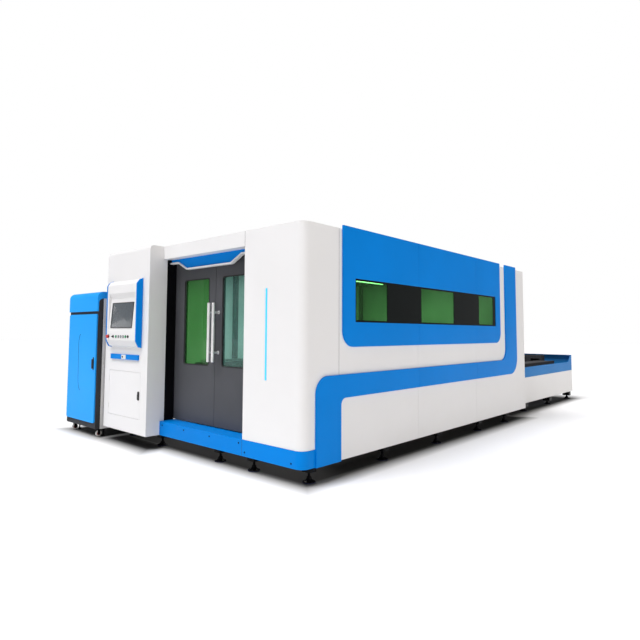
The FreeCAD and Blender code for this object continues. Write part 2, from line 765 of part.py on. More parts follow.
def build_strip():
    """The light strip on the front column."""
    box_node("light_strip", -D.strip_left, D.strip_wide - D.strip_left,
             -D.strip_proud, FLUSH, D.strip_low, D.strip_high)


# ---------------------------------------------------------------- sliding doors
def build_door(name, seam_edge, far_edge, side, handle_name, handle_in):
    """One sliding leaf with its runners, pane and handle; side is -1 on the left."""
    near = DOOR_MID + side * (D.door_window_in)
    away = near + side * D.door_window_wide
    low_x, high_x = (seam_edge, far_edge) if side > 0 else (far_edge, seam_edge)
    glass_x = (near, away) if side > 0 else (away, near)
    pane = rectangle(glass_x[0], glass_x[1], D.door_window_low, D.door_window_high,
                     D.door_window_round)
    leaf = padded_body(name + "_leaf", "XZ_Plane", D.door_thick, [
        (rounded, rectangle(low_x, high_x, D.door_low, D.door_high)),
        (rounded, pane),
    ])
    place(leaf, 0, D.recess + D.door_thick, 0)
    top = D.door_high + D.runner_high - D.plate - D.run_gap
    runners = []
    for x in (low_x + 80, high_x - 160):
        runners.append(box(x, x + 80, D.recess + 8, D.recess + D.door_thick - 8,
                           D.door_high, top))
    node(name, fuse([leaf] + runners))
    glass = padded_body(name + "_glass", "XZ_Plane", D.glass, [(rounded, pane)])
    node(name + "_glass", glass, offset_y=D.recess + (D.door_thick + D.glass) / 2)
    x = DOOR_MID + side * handle_in
    y = D.recess - D.handle_off
    bar = cylinder(x, y, D.handle_low, "z", D.handle_radius, D.handle_high - D.handle_low)
    posts = [cylinder(x, y, z, "y", D.post_radius, D.handle_off)
             for z in (D.handle_low + D.post_inset, D.handle_high - D.post_inset)]
    node(handle_name, fuse([bar] + posts))


def build_doors():
    """Both leaves; they part in the middle and run behind the jambs."""
    build_door("door_left", DOOR_MID - D.door_seam / 2, LEFT_JAMB - D.door_overlap, -1,
               "handle_left", D.handle_in_left)
    build_door("door_right", DOOR_MID + D.door_seam / 2, RIGHT_JAMB + D.right_overlap, 1,
               "handle_right", D.handle_in)


# ---------------------------------------------------------------- gantry
def build_gantry():
    """Bridge beam on its two end trucks, cross carriage and cutting head."""
    half = D.gantry_half
    y = D.gantry_at
    truck_low = D.beam_top + D.rail_high + D.run_gap
    parts = []
    for side in (1, -1):
        middle = BED_MID + BEAM_IN * side
        parts.append(box(middle - 90, middle + 90, y - half - 60, y + half + 60,
                         truck_low, D.gantry_low))
    reach = BEAM_IN + 90
    beam = cut(box(BED_MID - reach, BED_MID + reach, y - half, y + half,
                   D.gantry_low, D.gantry_high),
               [box(BED_MID - reach + 8, BED_MID + reach - 8, y - half + 8, y + half - 8,
                    D.gantry_low + 8, D.gantry_high - 8)])
    node("gantry_beam", fuse(parts + [beam]))
    face = y - half - D.run_gap
    wide = D.carriage_half
    carriage = box(BED_MID - wide, BED_MID + wide, face - D.carriage_deep, face,
                   D.gantry_low - 20, D.gantry_high + 60)
    node("cross_carriage", fuse_one(carriage))
    front = face - D.carriage_deep - D.run_gap
    middle = front - 20 - D.head_radius
    tip = D.nozzle_tip
    head = [
        box(BED_MID - 70, BED_MID + 70, front - 22, front, D.gantry_low - 40, D.gantry_high + 90),
        cylinder(BED_MID, middle, tip + 90, "z", D.head_radius, D.gantry_high + 10 - tip),
        cone(BED_MID, middle, tip, "z", as_size(6), D.head_radius * 0.6, as_size(90)),
    ]
    node("cutting_head", fuse(head))


# ---------------------------------------------------------------- pallets
def slat(x0, x1, low, high, pitch, deep, thick):
    """One saw-toothed slat standing on its lower edge, along X."""
    count = max(2, round((x1 - x0) / pitch))
    step = (x1 - x0) / count
    points = [Vector(x0, 0, low), Vector(x1, 0, low), Vector(x1, 0, high - deep)]
    for i in range(count, 0, -1):
        points.append(Vector(x0 + (i - 0.5) * step, 0, high))
        points.append(Vector(x0 + (i - 1) * step, 0, high - deep))
    face = Part.Face(Part.makePolygon(points + points[:1]))
    return face.extrude(Vector(0, thick, 0))


def slat_set(name, start, level):
    """All slats of one pallet, from the sheet's present sizes."""
    half = D.pallet_wide.value / 2 - D.pallet_side.value - 2
    low = level.value + 10
    high = low + D.slat_high.value
    inside = D.pallet_long.value - 2 * D.pallet_side.value
    pitch = inside / (D.slat_count.value + 1)
    first = start.value + D.pallet_side.value + pitch
    one = slat(BED_MID.value - half, BED_MID.value + half, low, high,
               D.tooth_pitch.value, D.tooth_deep.value, D.slat_thick.value)
    thing = doc.addObject("Part::Feature", name)
    places = [first + pitch * i for i in range(int(D.slat_count.value))]
    thing.Shape = Part.makeCompound([one.translated(Vector(0, y, 0)) for y in places])
    return thing


def build_pallet(name, start, level):
    """A pallet: side members with slat ledges, end members, cross flats and slats."""
    half = D.pallet_wide / 2
    side = D.pallet_side
    end = start + D.pallet_long
    top = level + D.pallet_deep
    flat = level + 10
    frame = [
        box(BED_MID - half, BED_MID - half + side, start, end, level, top),
        box(BED_MID + half - side, BED_MID + half, start, end, level, top),
        box(BED_MID - half, BED_MID - half + side + D.ledge, start, end, level, flat),
        box(BED_MID + half - side - D.ledge, BED_MID + half, start, end, level, flat),
        box(BED_MID - half, BED_MID + half, start, start + side, level, top),
        box(BED_MID - half, BED_MID + half, end - side, end, level, top),
    ]
    for part in (0.25, 0.5, 0.75):
        y = start + D.pallet_long * part
        frame.append(box(BED_MID - half, BED_MID + half, y - 40, y + 40, level, flat))
    node(name + "_pallet", fuse(frame))
    node(name + "_slats", slat_set(name + "_slat_set", start, level))


# ---------------------------------------------------------------- control cabinet
def cabinet_x(distance):
    """A place measured from the cabinet's left side."""
    return LEFT_SIDE + distance


def knuckles(parts, low, high, radius):
    """Hinge knuckles on the lower door's left edge, from low to high above each hinge."""
    for z in (D.panel_low + D.hinge_in, D.panel_high - D.hinge_in - D.knuckle):
        start = z + low
        parts.append(cylinder(cabinet_x(D.panel_in), -D.cab_proud, start, "z", radius,
                              as_size(high) - low))
    return parts


def shell_knuckles(radius, gap):
    """The cabinet's halves of the hinges, below and above the door's."""
    parts = knuckles([], -D.run_gap - D.knuckle / 2, -D.run_gap + gap, radius)
    return knuckles(parts, D.knuckle + D.run_gap - gap, D.knuckle * 1.5 + D.run_gap, radius)


def build_cabinet():
    """The control cabinet's shell, open below, with holes for door and drawer."""
    thick = D.plate
    front, back = -D.cab_proud, D.recess - D.slide_gap * 2
    body = padded_body("cabinet_block", "YZ_Plane", D.cab_width, [(rounded, [
        (front, D.skirt_low, 0), (back, D.skirt_low, 0),
        (back, D.top_height, 0), (front, D.top_height, D.cab_round),
    ])])
    place(body, LEFT_SIDE, 0, 0)
    hollow = padded_body("cabinet_hollow", "YZ_Plane", D.cab_width - thick * 2, [(rounded, [
        (front + thick, D.cab_floor + thick, 0), (back - thick, D.cab_floor + thick, 0),
        (back - thick, D.top_height - thick, 0),
        (front + thick, D.top_height - thick, D.cab_round - thick),
    ])])
    place(hollow, LEFT_SIDE + thick, 0, 0)
    gap = D.panel_gap
    under = box(LEFT_SIDE + thick, LEFT_JAMB - thick, front + thick, back - thick,
                D.skirt_low - 5, D.cab_floor)
    behind = box(LEFT_SIDE + thick, LEFT_JAMB + 5, D.base_front - 5, back + 5,
                 D.skirt_low - 5, D.cab_floor)
    left = D.panel_in - gap
    door = box(cabinet_x(left), cabinet_x(left + D.panel_wide + gap * 2), front - 5, front + 30,
               D.panel_low - gap, D.panel_high + gap)
    left = D.drawer_in + 12
    drawer = box(cabinet_x(left), cabinet_x(D.drawer_in + D.drawer_wide - 12), front - 5,
                 front + 30, D.drawer_low + 6, D.drawer_high - 6)
    room = knuckles([], -D.run_gap, D.knuckle + D.run_gap, D.knuckle_radius + D.run_gap)
    shell = cut(body, [hollow, under, behind, door, drawer] + room)
    shelf = box(cabinet_x(D.drawer_in), cabinet_x(D.drawer_in + D.drawer_wide), front + thick,
                front + D.drawer_deep, D.drawer_low + 1, D.drawer_low + 4)
    hinges = shell_knuckles(D.knuckle_radius, as_size(0))
    node("cabinet_shell", fuse([shell, shelf] + hinges))


def build_cabinet_door():
    """The lower door with its folded edge, and the black lock bar."""
    front = -D.cab_proud
    x0, x1 = cabinet_x(D.panel_in), cabinet_x(D.panel_in + D.panel_wide)
    low, high = D.panel_low, D.panel_high
    thick = D.plate
    hollow = box(x0 + thick, x1 - thick, front + thick, front + D.panel_thick + 5,
                 low + thick, high - thick)
    room = shell_knuckles(D.knuckle_radius + D.run_gap, D.run_gap)
    leaf = cut(box(x0, x1, front, front + D.panel_thick, low, high), [hollow] + room)
    own = knuckles([], as_size(0), D.knuckle, D.knuckle_radius)
    node("cabinet_door", fuse([leaf] + own))
    middle = (low + high) / 2
    x = x1 - 34
    bar = box(x - 18, x + 18, front - 12, front, middle - 47, middle + 48)
    boss = cylinder(x, front - 12, middle, "-y", D.boss_radius, D.boss_proud)
    node("cabinet_lock", fuse([bar, boss]))


def cheek_outline():
    """The side view of a console cheek, as Y and Z."""
    front = -D.cab_proud
    out = front - D.console_proud
    return [
        (front, D.console_low), (front - 34, D.console_low + 10), (out, D.desk_low),
        (out, D.console_top - 55), (front - 40, D.console_top - 10), (front, D.console_top),
    ]


def face_outline():
    """The side view of the white body between the cheeks, a little inside theirs."""
    front = -D.cab_proud
    face = front - D.face_proud
    drop = D.face_drop
    return [
        (front, D.console_low + drop), (front - 32, D.console_low + 10 + drop),
        (face, D.desk_low + drop), (face, D.console_top - 55 - drop),
        (front - 38, D.console_top - 10 - drop), (front, D.console_top - drop),
    ]


def niche_outline():
    """The side view of the niche: its roof slants in, the screen panel leans back out."""
    face = -(D.cab_proud + D.face_proud)
    beyond = face - 10
    return [
        (face, D.screen_low), (face + D.niche_deep, D.screen_top), (face, D.lip_high),
        (beyond, D.lip_high), (beyond, D.screen_low),
    ]


def screen_lean():
    """The lean of the screen panel from upright, in degrees, as an expression."""
    rise = D.screen_top - D.screen_low
    angle = math.degrees(math.atan2(D.niche_deep.value, rise.value))
    return Size(f"atan({D.niche_deep.text} / {rise.text})", angle)


def on_panel(thing, x, height):
    """Lay a part on the screen panel at a height; its own Z is the panel's normal."""
    lean = screen_lean()
    thing.Placement = Placement(Vector(0, 0, 0), Rotation(Vector(1, 0, 0), 90 - lean.value))
    thing.setExpression("Placement.Rotation.Angle", f"90 deg - {lean.text}")
    share = (height - D.screen_low) / (D.screen_top - D.screen_low)
    y = D.niche_deep * share - D.cab_proud - D.face_proud
    for letter, size in zip("xyz", (x, y, height)):
        thing.setExpression(f"Placement.Base.{letter}", as_size(size).text)


def face_disc(x, start, length, radius):
    """A round part square to the console's face, in the button row."""
    face = -(D.cab_proud + D.face_proud)
    return cylinder(x, face - start, D.button_row, "-y", radius, length)


def button_places():
    """Distances from the cabinet's side to the six push buttons."""
    return [D.button_at + D.button_pitch * i for i in range(6)]


def build_console():
    """Blue cheeks, white face, display, emergency stop, key switch and buttons."""
    x0 = cabinet_x(D.console_in)
    x1 = LEFT_JAMB - D.console_in
    cheeks = []
    for x in (x0, x1 - D.cheek):
        body = padded_body("cheek", "YZ_Plane", D.cheek, [(polygon, cheek_outline())])
        place(body, x, 0, 0)
        cheeks.append(body)
    node("console_cheeks", group(cheeks))
    width = x1 - x0 - D.cheek * 2
    face = padded_body("face_block", "YZ_Plane", width, [(polygon, face_outline())])
    place(face, x0 + D.cheek, 0, 0)
    niche = padded_body("niche", "YZ_Plane", width - D.niche_side * 2, [(polygon, niche_outline())])
    place(niche, x0 + D.cheek + D.niche_side, 0, 0)
    holes = [face_disc(cabinet_x(at), -BUTTON_SEAT, BUTTON_SEAT + 10, D.button_hole)
             for at in button_places() + [D.button_first, D.key_at]]
    node("console_face", cut(face, [niche] + holes))
    display = doc.addObject("Part::Box", "display_block")
    bind(display, Length=D.display_wide, Width=D.display_tall, Height=D.display_thick)
    on_panel(display, (x0 + x1) / 2 - D.display_wide / 2, D.display_mid - D.display_tall / 2)
    node("display", fuse_one(display))
    for number, at in enumerate(button_places(), start=1):
        plunger = face_disc(cabinet_x(at), -D.button_back, D.button_back + D.button_long,
                            D.button_radius)
        node(f"push_button_{number}", fuse_one(plunger))
    key = fuse([
        face_disc(cabinet_x(D.key_at), -D.button_back, D.button_back + 14, D.button_radius),
        face_disc(cabinet_x(D.key_at), as_size(14), as_size(12), as_size(5)),
    ])
    node("key_switch", key)
    stop = fuse([
        face_disc(cabinet_x(D.button_first), -D.button_back, D.button_back + 12,
                   D.button_radius),
        face_disc(cabinet_x(D.button_first), as_size(12), as_size(18), D.stop_radius),
    ])
    node("e_stop_button", stop)


def build_drawer():
    """The keyboard drawer: blue front, tray behind it and the latch on the front."""
    front = -D.cab_proud
    x0 = cabinet_x(D.drawer_in)
    x1 = cabinet_x(D.drawer_in + D.drawer_wide)
    tray0, tray1 = x0 + 14, x1 - 14
    low, high = D.drawer_low + 8, D.drawer_high - 8
    back = front + D.drawer_deep - 20
    tray = cut(box(tray0, tray1, front, back, low, high),
               [box(tray0 + 3, tray1 - 3, front + 5, back - 3, low + 3, high + 5)])
    face = box(x0, x1, front - D.drawer_proud, front, D.drawer_low, D.drawer_high)
    node("keyboard_drawer", fuse([face, tray]))
    middle = (x0 + x1) / 2
    z = (D.drawer_low + D.drawer_high) / 2
    y = front - D.drawer_proud
    latch = fuse([
        box(middle - 46, middle + 46, y - 5, y, z - 24, z + 24),
        cylinder(middle - 18, y - 5, z, "-y", as_size(9), as_size(6)),
    ])
    node("drawer_latch", latch)


# ---------------------------------------------------------------- laser source cabinet
def build_source():
    """White body, dark surround, blue cap and door, handle, clips and casters."""
    front = -D.src_front
    rim_back = front + D.src_rim_deep
    back = rim_back + D.src_depth
    low = D.src_low
    thick = D.plate
    outer = box(SRC_LEFT, SRC_RIGHT, rim_back, back, low, D.src_body_top)
    inner = box(SRC_LEFT + thick, SRC_RIGHT - thick, rim_back - 5, back - thick,
                low + thick, D.src_body_top - thick)
    clips = []
    for z in (327, 840, 1355):
        for x in (SRC_LEFT - CLIP, SRC_RIGHT):
            clips.append(box(x, x + CLIP, rim_back + 2, rim_back + 30, as_size(z - 34), as_size(z + 34)))
    node("source_shell", group([cut(outer, [inner])] + clips))
    step = D.src_round
    rim = padded_body("rim_block", "YZ_Plane", D.src_width, [(rounded, [
        (front, low, 20), (rim_back, low, 0), (rim_back, D.src_body_top, 0),
        (front, D.src_body_top, step - D.src_cap_thick),
    ])])
    place(rim, SRC_LEFT, 0, 0)
    door0, door1 = SRC_LEFT + D.src_door_in, SRC_RIGHT - D.src_door_in
    opening = box(door0 + 12, door1 - 12, front - 5, rim_back + 5, D.src_door_low + 12,
                  D.src_door_high - 12)
    node("source_surround", cut(rim, [opening]))
    skin = front - D.src_cap_thick
    cap_front = rim_back + D.src_depth
    cap = padded_body("cap_block", "YZ_Plane", D.src_width, [(rounded, [
        (skin, D.src_cap_low, 0), (front, D.src_cap_low, 0),
        (front, D.src_body_top, D.src_round - D.src_cap_thick),
        (cap_front, D.src_body_top, 0), (cap_front, D.src_top, 0),
        (skin, D.src_top, D.src_round),
    ])])
    node("source_cap", cap, offset_x=SRC_LEFT)
    y0 = skin
    gap = D.run_gap
    leaf = padded_body("source_leaf", "XZ_Plane", D.src_cap_thick - gap, [
        (rounded, rectangle(door0, door1, D.src_door_low, D.src_door_high, 26))])
    node("source_door", leaf, offset_y=front - gap)
    x = door1 - 48
    z = D.src_door_low + 700
    handle = fuse([
        box(x - 12, x + 12, y0 - 4, y0, z - 74, z + 74),
        box(x - 9, x + 9, y0 - HANDLE_PROUD, y0 - 4, z - 60, z + 66),
        cylinder(x, y0, z, "-y", D.boss_radius, HANDLE_PROUD - D.boss_proud),
    ])
    node("source_handle", handle)
    build_casters(front, back)


def build_casters(front, back):
    """Four levelling casters: a bracket with its pad down and a free wheel each."""
    low = D.src_low
    brackets = []
    number = 1
    for y in (front + D.src_rim_deep + D.caster_front, back - D.caster_rear):
        for x in (SRC_LEFT + D.caster_in, SRC_RIGHT - D.caster_in):
            axle = D.wheel_radius + D.wheel_lift
            half = D.wheel_wide / 2
            pad = y + D.pad_back
            fork = [
                box(x - 34, x + 34, y - 34, pad + 16, low - 6, low),
                box(x - half - 8, x - half - 2, y - 16, y + 16, axle - 14, low - 6),
                box(x + half + 2, x + half + 8, y - 16, y + 16, axle - 14, low - 6),
                cylinder(x - half - 8, y, axle, "x", D.wheel_bore - D.axle_gap, D.wheel_wide + 16),
                cylinder(x, pad, 0, "z", as_size(20), as_size(14)),
                cylinder(x, pad, 0, "z", as_size(9), low),
                box(x - 14, x + 14, pad - 16, pad + 16, low - 26, low),
            ]
            brackets.append(fuse(fork))
            wheel = cut(cylinder(x - half, y, axle, "x", D.wheel_radius, D.wheel_wide),
                        [cylinder(x - half - 1, y, axle, "x", D.wheel_bore, D.wheel_wide + 2)])
            node(f"caster_wheel_{number}", wheel)
            number += 1
    node("caster_brackets", group(brackets))


# ---------------------------------------------------------------- exchange table
def build_table():
    """Frame with pallet tracks, white covers, blue rails and the chain drive."""
    near = -(D.table_in + D.plate)
    far = BED_MID * 2 - near
    start = D.enc_length + 3
    end = D.table_end - D.plate
    low, high = D.base_low, D.base_low + D.tube
    wide = D.table_foot_in * 2 - D.plate * 2
    parts = [
        box(near - wide, near, start, end, low, high),
        box(far, far + wide, start, end, low, high),
    ]
    half = D.tube / 2
    for y in (start + half, D.table_foot_two, end - half):
        parts.append(box(far + wide, near - wide, y - half, y + half, low, high))
    inner = BEAM_IN - D.beam_wide / 2
    top = D.upper_level - D.run_gap
    for side in (1, -1):
        web0 = BED_MID + side * inner
        web1 = web0 + side * 40
        x0, x1 = (web0, web1) if side > 0 else (web1, web0)
        parts.append(box(x0, x1, start, D.drive_start + D.drive_deep, high, top))
    parts += tracks(start, D.drive_start, inner)
    half = D.pallet_wide / 2
    parts.append(box(BED_MID - half, BED_MID + half, D.drive_start, D.drive_start + 60,
                     D.lower_level - D.track_thick, D.drive_low))
    for x in (near - D.post, far):
        for y in (start, D.table_foot_two, end - D.post):
            parts.append(box(x, x + D.post, y, y + D.post, high, D.table_rail_high - D.plate))
    node("table_frame", group(parts))
    build_table_covers(near, far, start, end)


def build_table_covers(near, far, start, end):
    """White skirts, the blue rails with their end panel, and the drive housing."""
    thick = D.plate
    out_near, out_far = near + thick, far - thick
    low, mid, high = D.table_low, D.table_rail_low, D.table_rail_high
    skirts = [
        box(near, out_near, start, end, low, mid),
        box(out_far, far, start, end, low, mid),
        box(out_far, out_near, end, end + thick, low, mid),
    ]
    node("table_covers", group(skirts))
    flange = D.rail_flange
    top = D.end_panel_high
    rail = [
        box(near, out_near, start, end, mid, high),
        box(near - flange, out_near, start, end, high - thick, high),
        box(out_far, far, start, end, mid, high),
        box(out_far, far + flange, start, end, high - thick, high),
        box(out_far, out_near, end, end + thick, mid, top),
        box(out_far, out_near, end - flange, end + thick, top - thick, top),
    ]
    for x in (near, out_far):
        gusset = padded_body("gusset", "YZ_Plane", thick, [(polygon, [
            (end - 230, high - 1), (end, high - 1), (end, top), (end - flange, top)])])
        place(gusset, x, 0, 0)
        rail.append(gusset)
    node("table_rails", fuse(rail))
    half = D.pallet_wide / 2
    y0, y1 = D.drive_start, D.drive_start + D.drive_deep
    housing = box(BED_MID - half, BED_MID + half, y0, y1, D.drive_low, D.drive_high)
    count = 6
    step = D.pallet_wide / count
    pockets = []
    for i in range(count):
        x = BED_MID - half + step * (i + 0.18)
        pockets.append(box(x, x + step * 0.64, y0 - 5, y0 + 90, D.drive_low + 40,
                           D.drive_high - 60))
    node("table_drive", cut(housing, pockets))


# ---------------------------------------------------------------- whole machine
def build_machine():
    """Every piece of the machine."""
    build_feet()
    build_bed()
    build_rails()
    column = corner_wall("column_wall", D.column_deep - 1, FLUSH, D.sill_top, D.top_height)
    node("front_column", fuse_one(column))
    build_skirts()
    build_header()
    build_canopy()
    build_strip()
    build_door_surround()
    build_side_panels()
    build_window()
    build_band()
    build_plain_panels()
    build_doors()
    build_cabinet()
    build_cabinet_door()
    build_console()
    build_drawer()
    build_source()
    build_gantry()
    build_pallet("lower", D.pallet_start + D.pallet_travel, D.lower_level)
    build_pallet("upper", D.pallet_start, D.upper_level)
    build_table()


def check_document():
    """Stop if an object failed or a piece has no valid shape."""
    for thing in doc.Objects:
        if {"Invalid", "Error"} & set(thing.State):
            raise RuntimeError(f"{thing.Name} {thing.Label} failed: {thing.State}")
    for name, thing in NODES.items():
        if thing.Shape.isNull() or not thing.Shape.isValid() or not thing.Shape.Solids:
            raise RuntimeError(f"{name} has no valid solid")


def write_parts():
    """One STEP file per piece."""
    os.makedirs("parts", exist_ok=True)
    for name, thing in sorted(NODES.items()):
        thing.Shape.exportStep(f"parts/{name}.step")


build_machine()
doc.recompute()
check_document()
write_parts()
print(len(NODES), "pieces")
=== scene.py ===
# %% [markdown]
# # Fiber laser cutting machine
# The machine is a long sheet-metal cabin with two sliding doors, an operator's console,
# a separate cabinet for the laser source and a table where two pallets change places.
# The frame comes in as fixed nodes, one for each real piece. This lesson gives every
# node its finish and models the small parts that the eye looks for: handles, feet,
# seals, buttons, screws and lamps.

# %% Load the frame
import json
import math

import bmesh
import bpy
import numpy as np
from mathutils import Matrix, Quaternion, Vector


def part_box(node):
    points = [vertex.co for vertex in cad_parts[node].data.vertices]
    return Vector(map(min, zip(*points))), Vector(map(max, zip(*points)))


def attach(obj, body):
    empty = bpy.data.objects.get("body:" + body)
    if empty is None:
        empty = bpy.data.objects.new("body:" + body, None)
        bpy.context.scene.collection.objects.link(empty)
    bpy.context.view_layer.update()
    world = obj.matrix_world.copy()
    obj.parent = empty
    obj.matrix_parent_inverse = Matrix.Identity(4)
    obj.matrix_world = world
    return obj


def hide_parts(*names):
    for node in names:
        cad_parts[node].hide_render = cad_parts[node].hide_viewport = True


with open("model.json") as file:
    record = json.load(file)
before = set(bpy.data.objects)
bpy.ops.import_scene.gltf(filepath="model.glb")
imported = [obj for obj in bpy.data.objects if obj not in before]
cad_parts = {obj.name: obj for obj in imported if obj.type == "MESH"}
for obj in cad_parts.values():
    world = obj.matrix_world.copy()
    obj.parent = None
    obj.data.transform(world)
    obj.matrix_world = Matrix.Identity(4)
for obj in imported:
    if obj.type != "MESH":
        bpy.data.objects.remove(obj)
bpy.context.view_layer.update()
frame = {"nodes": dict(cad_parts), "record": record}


# %% [markdown]
# Places are counted in millimetres from one corner of the machine: where the front face
# meets the window side on the floor. X runs left as negative numbers, Y runs back and Z
# runs up. One function turns such a place into the frame's metres, so a part can be
# placed the way a fitter would measure it.

# %% Places and directions
MM = 0.001
ACROSS = np.array([1.0, 0.0, 0.0])
TO_FRONT = np.array([0.0, -1.0, 0.0])
UPWARDS = np.array([0.0, 0.0, 1.0])


def low(node):
    """The lowest corner of a node's box, in metres."""
    return np.array(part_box(node)[0])


def high(node):
    """The highest corner of a node's box, in metres."""
    return np.array(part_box(node)[1])


def middle(node):
    """The middle of a node's box, in metres."""
    return (low(node) + high(node)) / 2


CORNER = np.array([high("side_panels")[0], low("front_column")[1], 0.0])


def here(x, y, z):
    """Machine millimetres to frame metres: corner + place / 1000, for numbers or arrays."""
    return np.stack(np.broadcast_arrays(x, y, z), axis=-1) * MM + CORNER


# %% [markdown]
# ## Building surfaces
# A turned part, a bent tube and a pressed plate are all grids: rows of points joined by
# quads. Working the points out as whole arrays is fast, and the formula stays readable.
# Each shape function gives points and faces, and several shapes can become one piece.

# %% Grid of quads
def grid(points, around=True, ends=True):
    """Join rows of points by quads: row i, column j with row i + 1, column j + 1.

    points is rows x columns x 3. around closes each row on itself, and ends closes the
    first and last row with one face each.
    """
    rows, cols = points.shape[:2]
    number = np.arange(rows * cols).reshape(rows, cols)
    after = np.roll(number, -1, axis=1) if around else number[:, 1:]
    here_ = number if around else number[:, :-1]
    quads = np.stack([here_[:-1], after[:-1], after[1:], here_[1:]], axis=-1).reshape(-1, 4)
    faces = quads.tolist()
    if ends:
        faces.append(number[0, ::-1].tolist())
        faces.append(number[-1].tolist())
    return points.reshape(-1, 3), faces


def join(shapes):
    """Put several shapes in one: each shape's face numbers move past the points before."""
    points, faces, count = [], [], 0
    for these, those in shapes:
        points.append(these)
        faces += [[n + count for n in face] for face in those]
        count += len(these)
    return np.concatenate(points), faces


# %% Turned shapes
def turned(start, direction, profile, sides=32):
    """A surface of revolution: point = start + along * h + (across * cos + up * sin) * r.

    profile lists (r, h) pairs, r across the axis and h along it.
    """
    along = np.array(direction, float) / np.linalg.norm(direction)
    across = np.cross(along, [0.0, 0.0, 1.0] if abs(along[2]) < 0.9 else [1.0, 0.0, 0.0])
    across /= np.linalg.norm(across)
    up = np.cross(along, across)
    angle = np.arange(sides) * 2 * math.pi / sides
    ring = np.outer(np.cos(angle), across) + np.outer(np.sin(angle), up)
    radius, height = np.array(profile, float).T
    points = radius[:, None, None] * ring + (height[:, None] * along)[:, None, :]
    return grid(points + np.array(start, float))


def domed(radius, length, edge=0.2, steps=4):
    """A rod's profile with rounded rims: quarter circles of edge times the radius."""
    bend = radius * edge
    turn = np.linspace(0, math.pi / 2, steps)
    outer = radius - bend + bend * np.sin(turn)
    rise = bend * (1 - np.cos(turn))
    first = np.stack([outer, rise], axis=1)
    last = np.stack([outer[::-1], length - rise[::-1]], axis=1)
    return np.concatenate([[(radius * 0.02, 0)], first, last, [(radius * 0.02, length)]])


# %% Outlines, plates and swept sections
def outline(corners, steps=7):
    """A closed outline whose corners (u, v, radius) are arcs tangent to both sides."""
    place = np.array([c[:2] for c in corners], float)
    before = np.roll(place, 1, axis=0) - place
    after = np.roll(place, -1, axis=0) - place
    before /= np.linalg.norm(before, axis=1)[:, None]
    after /= np.linalg.norm(after, axis=1)[:, None]
    pieces = []
    for spot, back, ahead, (_, _, radius) in zip(place, before, after, corners):
        if radius <= 0:
            pieces.append(spot[None])
            continue
        half = math.acos(np.clip(back @ ahead, -1, 1)) / 2
        centre = spot + (back + ahead) / np.linalg.norm(back + ahead) * radius / math.sin(half)
        start = spot + back * radius / math.tan(half) - centre
        end = spot + ahead * radius / math.tan(half) - centre
        sweep = math.atan2(start[0] * end[1] - start[1] * end[0], start @ end)
        turn = np.linspace(0, sweep, steps)
        cos, sin = np.cos(turn), np.sin(turn)
        arc = np.stack([start[0] * cos - start[1] * sin, start[0] * sin + start[1] * cos], axis=1)
        pieces.append(arc + centre)
    return np.concatenate(pieces)


def rectangle(u0, u1, v0, v1, radius):
    """The corners of a rectangle, all rounded alike."""
    return [(u0, v0, radius), (u1, v0, radius), (u1, v1, radius), (u0, v1, radius)]


def inset(loop, distance):
    """Move each point of a closed outline inwards by a distance, along its own normal."""
    tangent = np.roll(loop, -1, axis=0) - np.roll(loop, 1, axis=0)
    tangent /= np.linalg.norm(tangent, axis=1)[:, None]
    area = np.sum(loop[:, 0] * np.roll(loop[:, 1], -1) - np.roll(loop[:, 0], -1) * loop[:, 1])
    normal = np.stack([-tangent[:, 1], tangent[:, 0]], axis=1) * np.sign(area)
    return loop + normal * distance


def plate(corners, plane, thickness, edge=1.5, steps=4):
    """A flat plate with a rounded rim, its back at depth 0 and its face at thickness.

    plane turns (u, v, depth) in millimetres into metres. Towards the face each row moves
    in by edge * (1 - cos) and out by edge * sin, so the rim is a quarter circle.
    """
    loop = outline(corners)
    turn = np.linspace(0, math.pi / 2, steps)
    rows = [plane(loop[:, 0], loop[:, 1], np.zeros(len(loop)))]
    for angle in turn:
        moved = inset(loop, edge * (1 - math.cos(angle)))
        depth = thickness - edge * (1 - math.sin(angle))
        rows.append(plane(moved[:, 0], moved[:, 1], np.full(len(loop), depth)))
    return grid(np.array(rows))


def swept(path, section, normal, closed=False):
    """Carry a flat section along a path: point = path + side * u + normal * v.

    side is the path's direction crossed with the normal of the plane that it lies in.
    """
    path = np.array(path, float)
    if closed:
        tangent = np.roll(path, -1, axis=0) - np.roll(path, 1, axis=0)
    else:
        tangent = np.gradient(path, axis=0)
    tangent /= np.linalg.norm(tangent, axis=1)[:, None]
    normal = np.array(normal, float)
    side = np.cross(tangent, normal)
    side /= np.linalg.norm(side, axis=1)[:, None]
    u, v = np.array(section, float).T
    points = path[:, None, :] + side[:, None, :] * u[None, :, None] + normal * v[None, :, None]
    if closed:
        points = np.concatenate([points, points[:1]])
    return grid(points, ends=not closed)


# %% Making a piece
def piece(name, shapes, finish, body, slot, stands_for=(), angle=35):
    """One object from its shapes, with its finish, its body and the nodes it stands for."""
    points, faces = join(shapes)
    mesh = bpy.data.meshes.new(name)
    mesh.from_pydata(points.tolist(), [], faces)
    work = bmesh.new()
    work.from_mesh(mesh)
    bmesh.ops.remove_doubles(work, verts=work.verts, dist=1e-6)
    bmesh.ops.recalc_face_normals(work, faces=work.faces)
    work.to_mesh(mesh)
    work.free()
    mesh.shade_smooth()
    mesh.set_sharp_from_angle(angle=math.radians(angle))
    mesh.materials.append(finish)
    made = bpy.data.objects.new(name, mesh)
    bpy.context.collection.objects.link(made)
    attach(made, body)
    if stands_for:
        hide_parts(*stands_for)
    print(f"{name}: {len(mesh.polygons)} faces on {body}")
    return made


# %% [markdown]
# ## Finishes
# Powder coat on sheet metal isn't one colour: it has a fine orange-peel skin, a slow
# drift of tone over a big panel, and edges that catch the light because the coat rounds
# them. Noise at three scales gives the first two, and a Bevel node, which reads nearby
# faces, rounds the edges in the shading so that the frame's crisp meshes stay as they are.

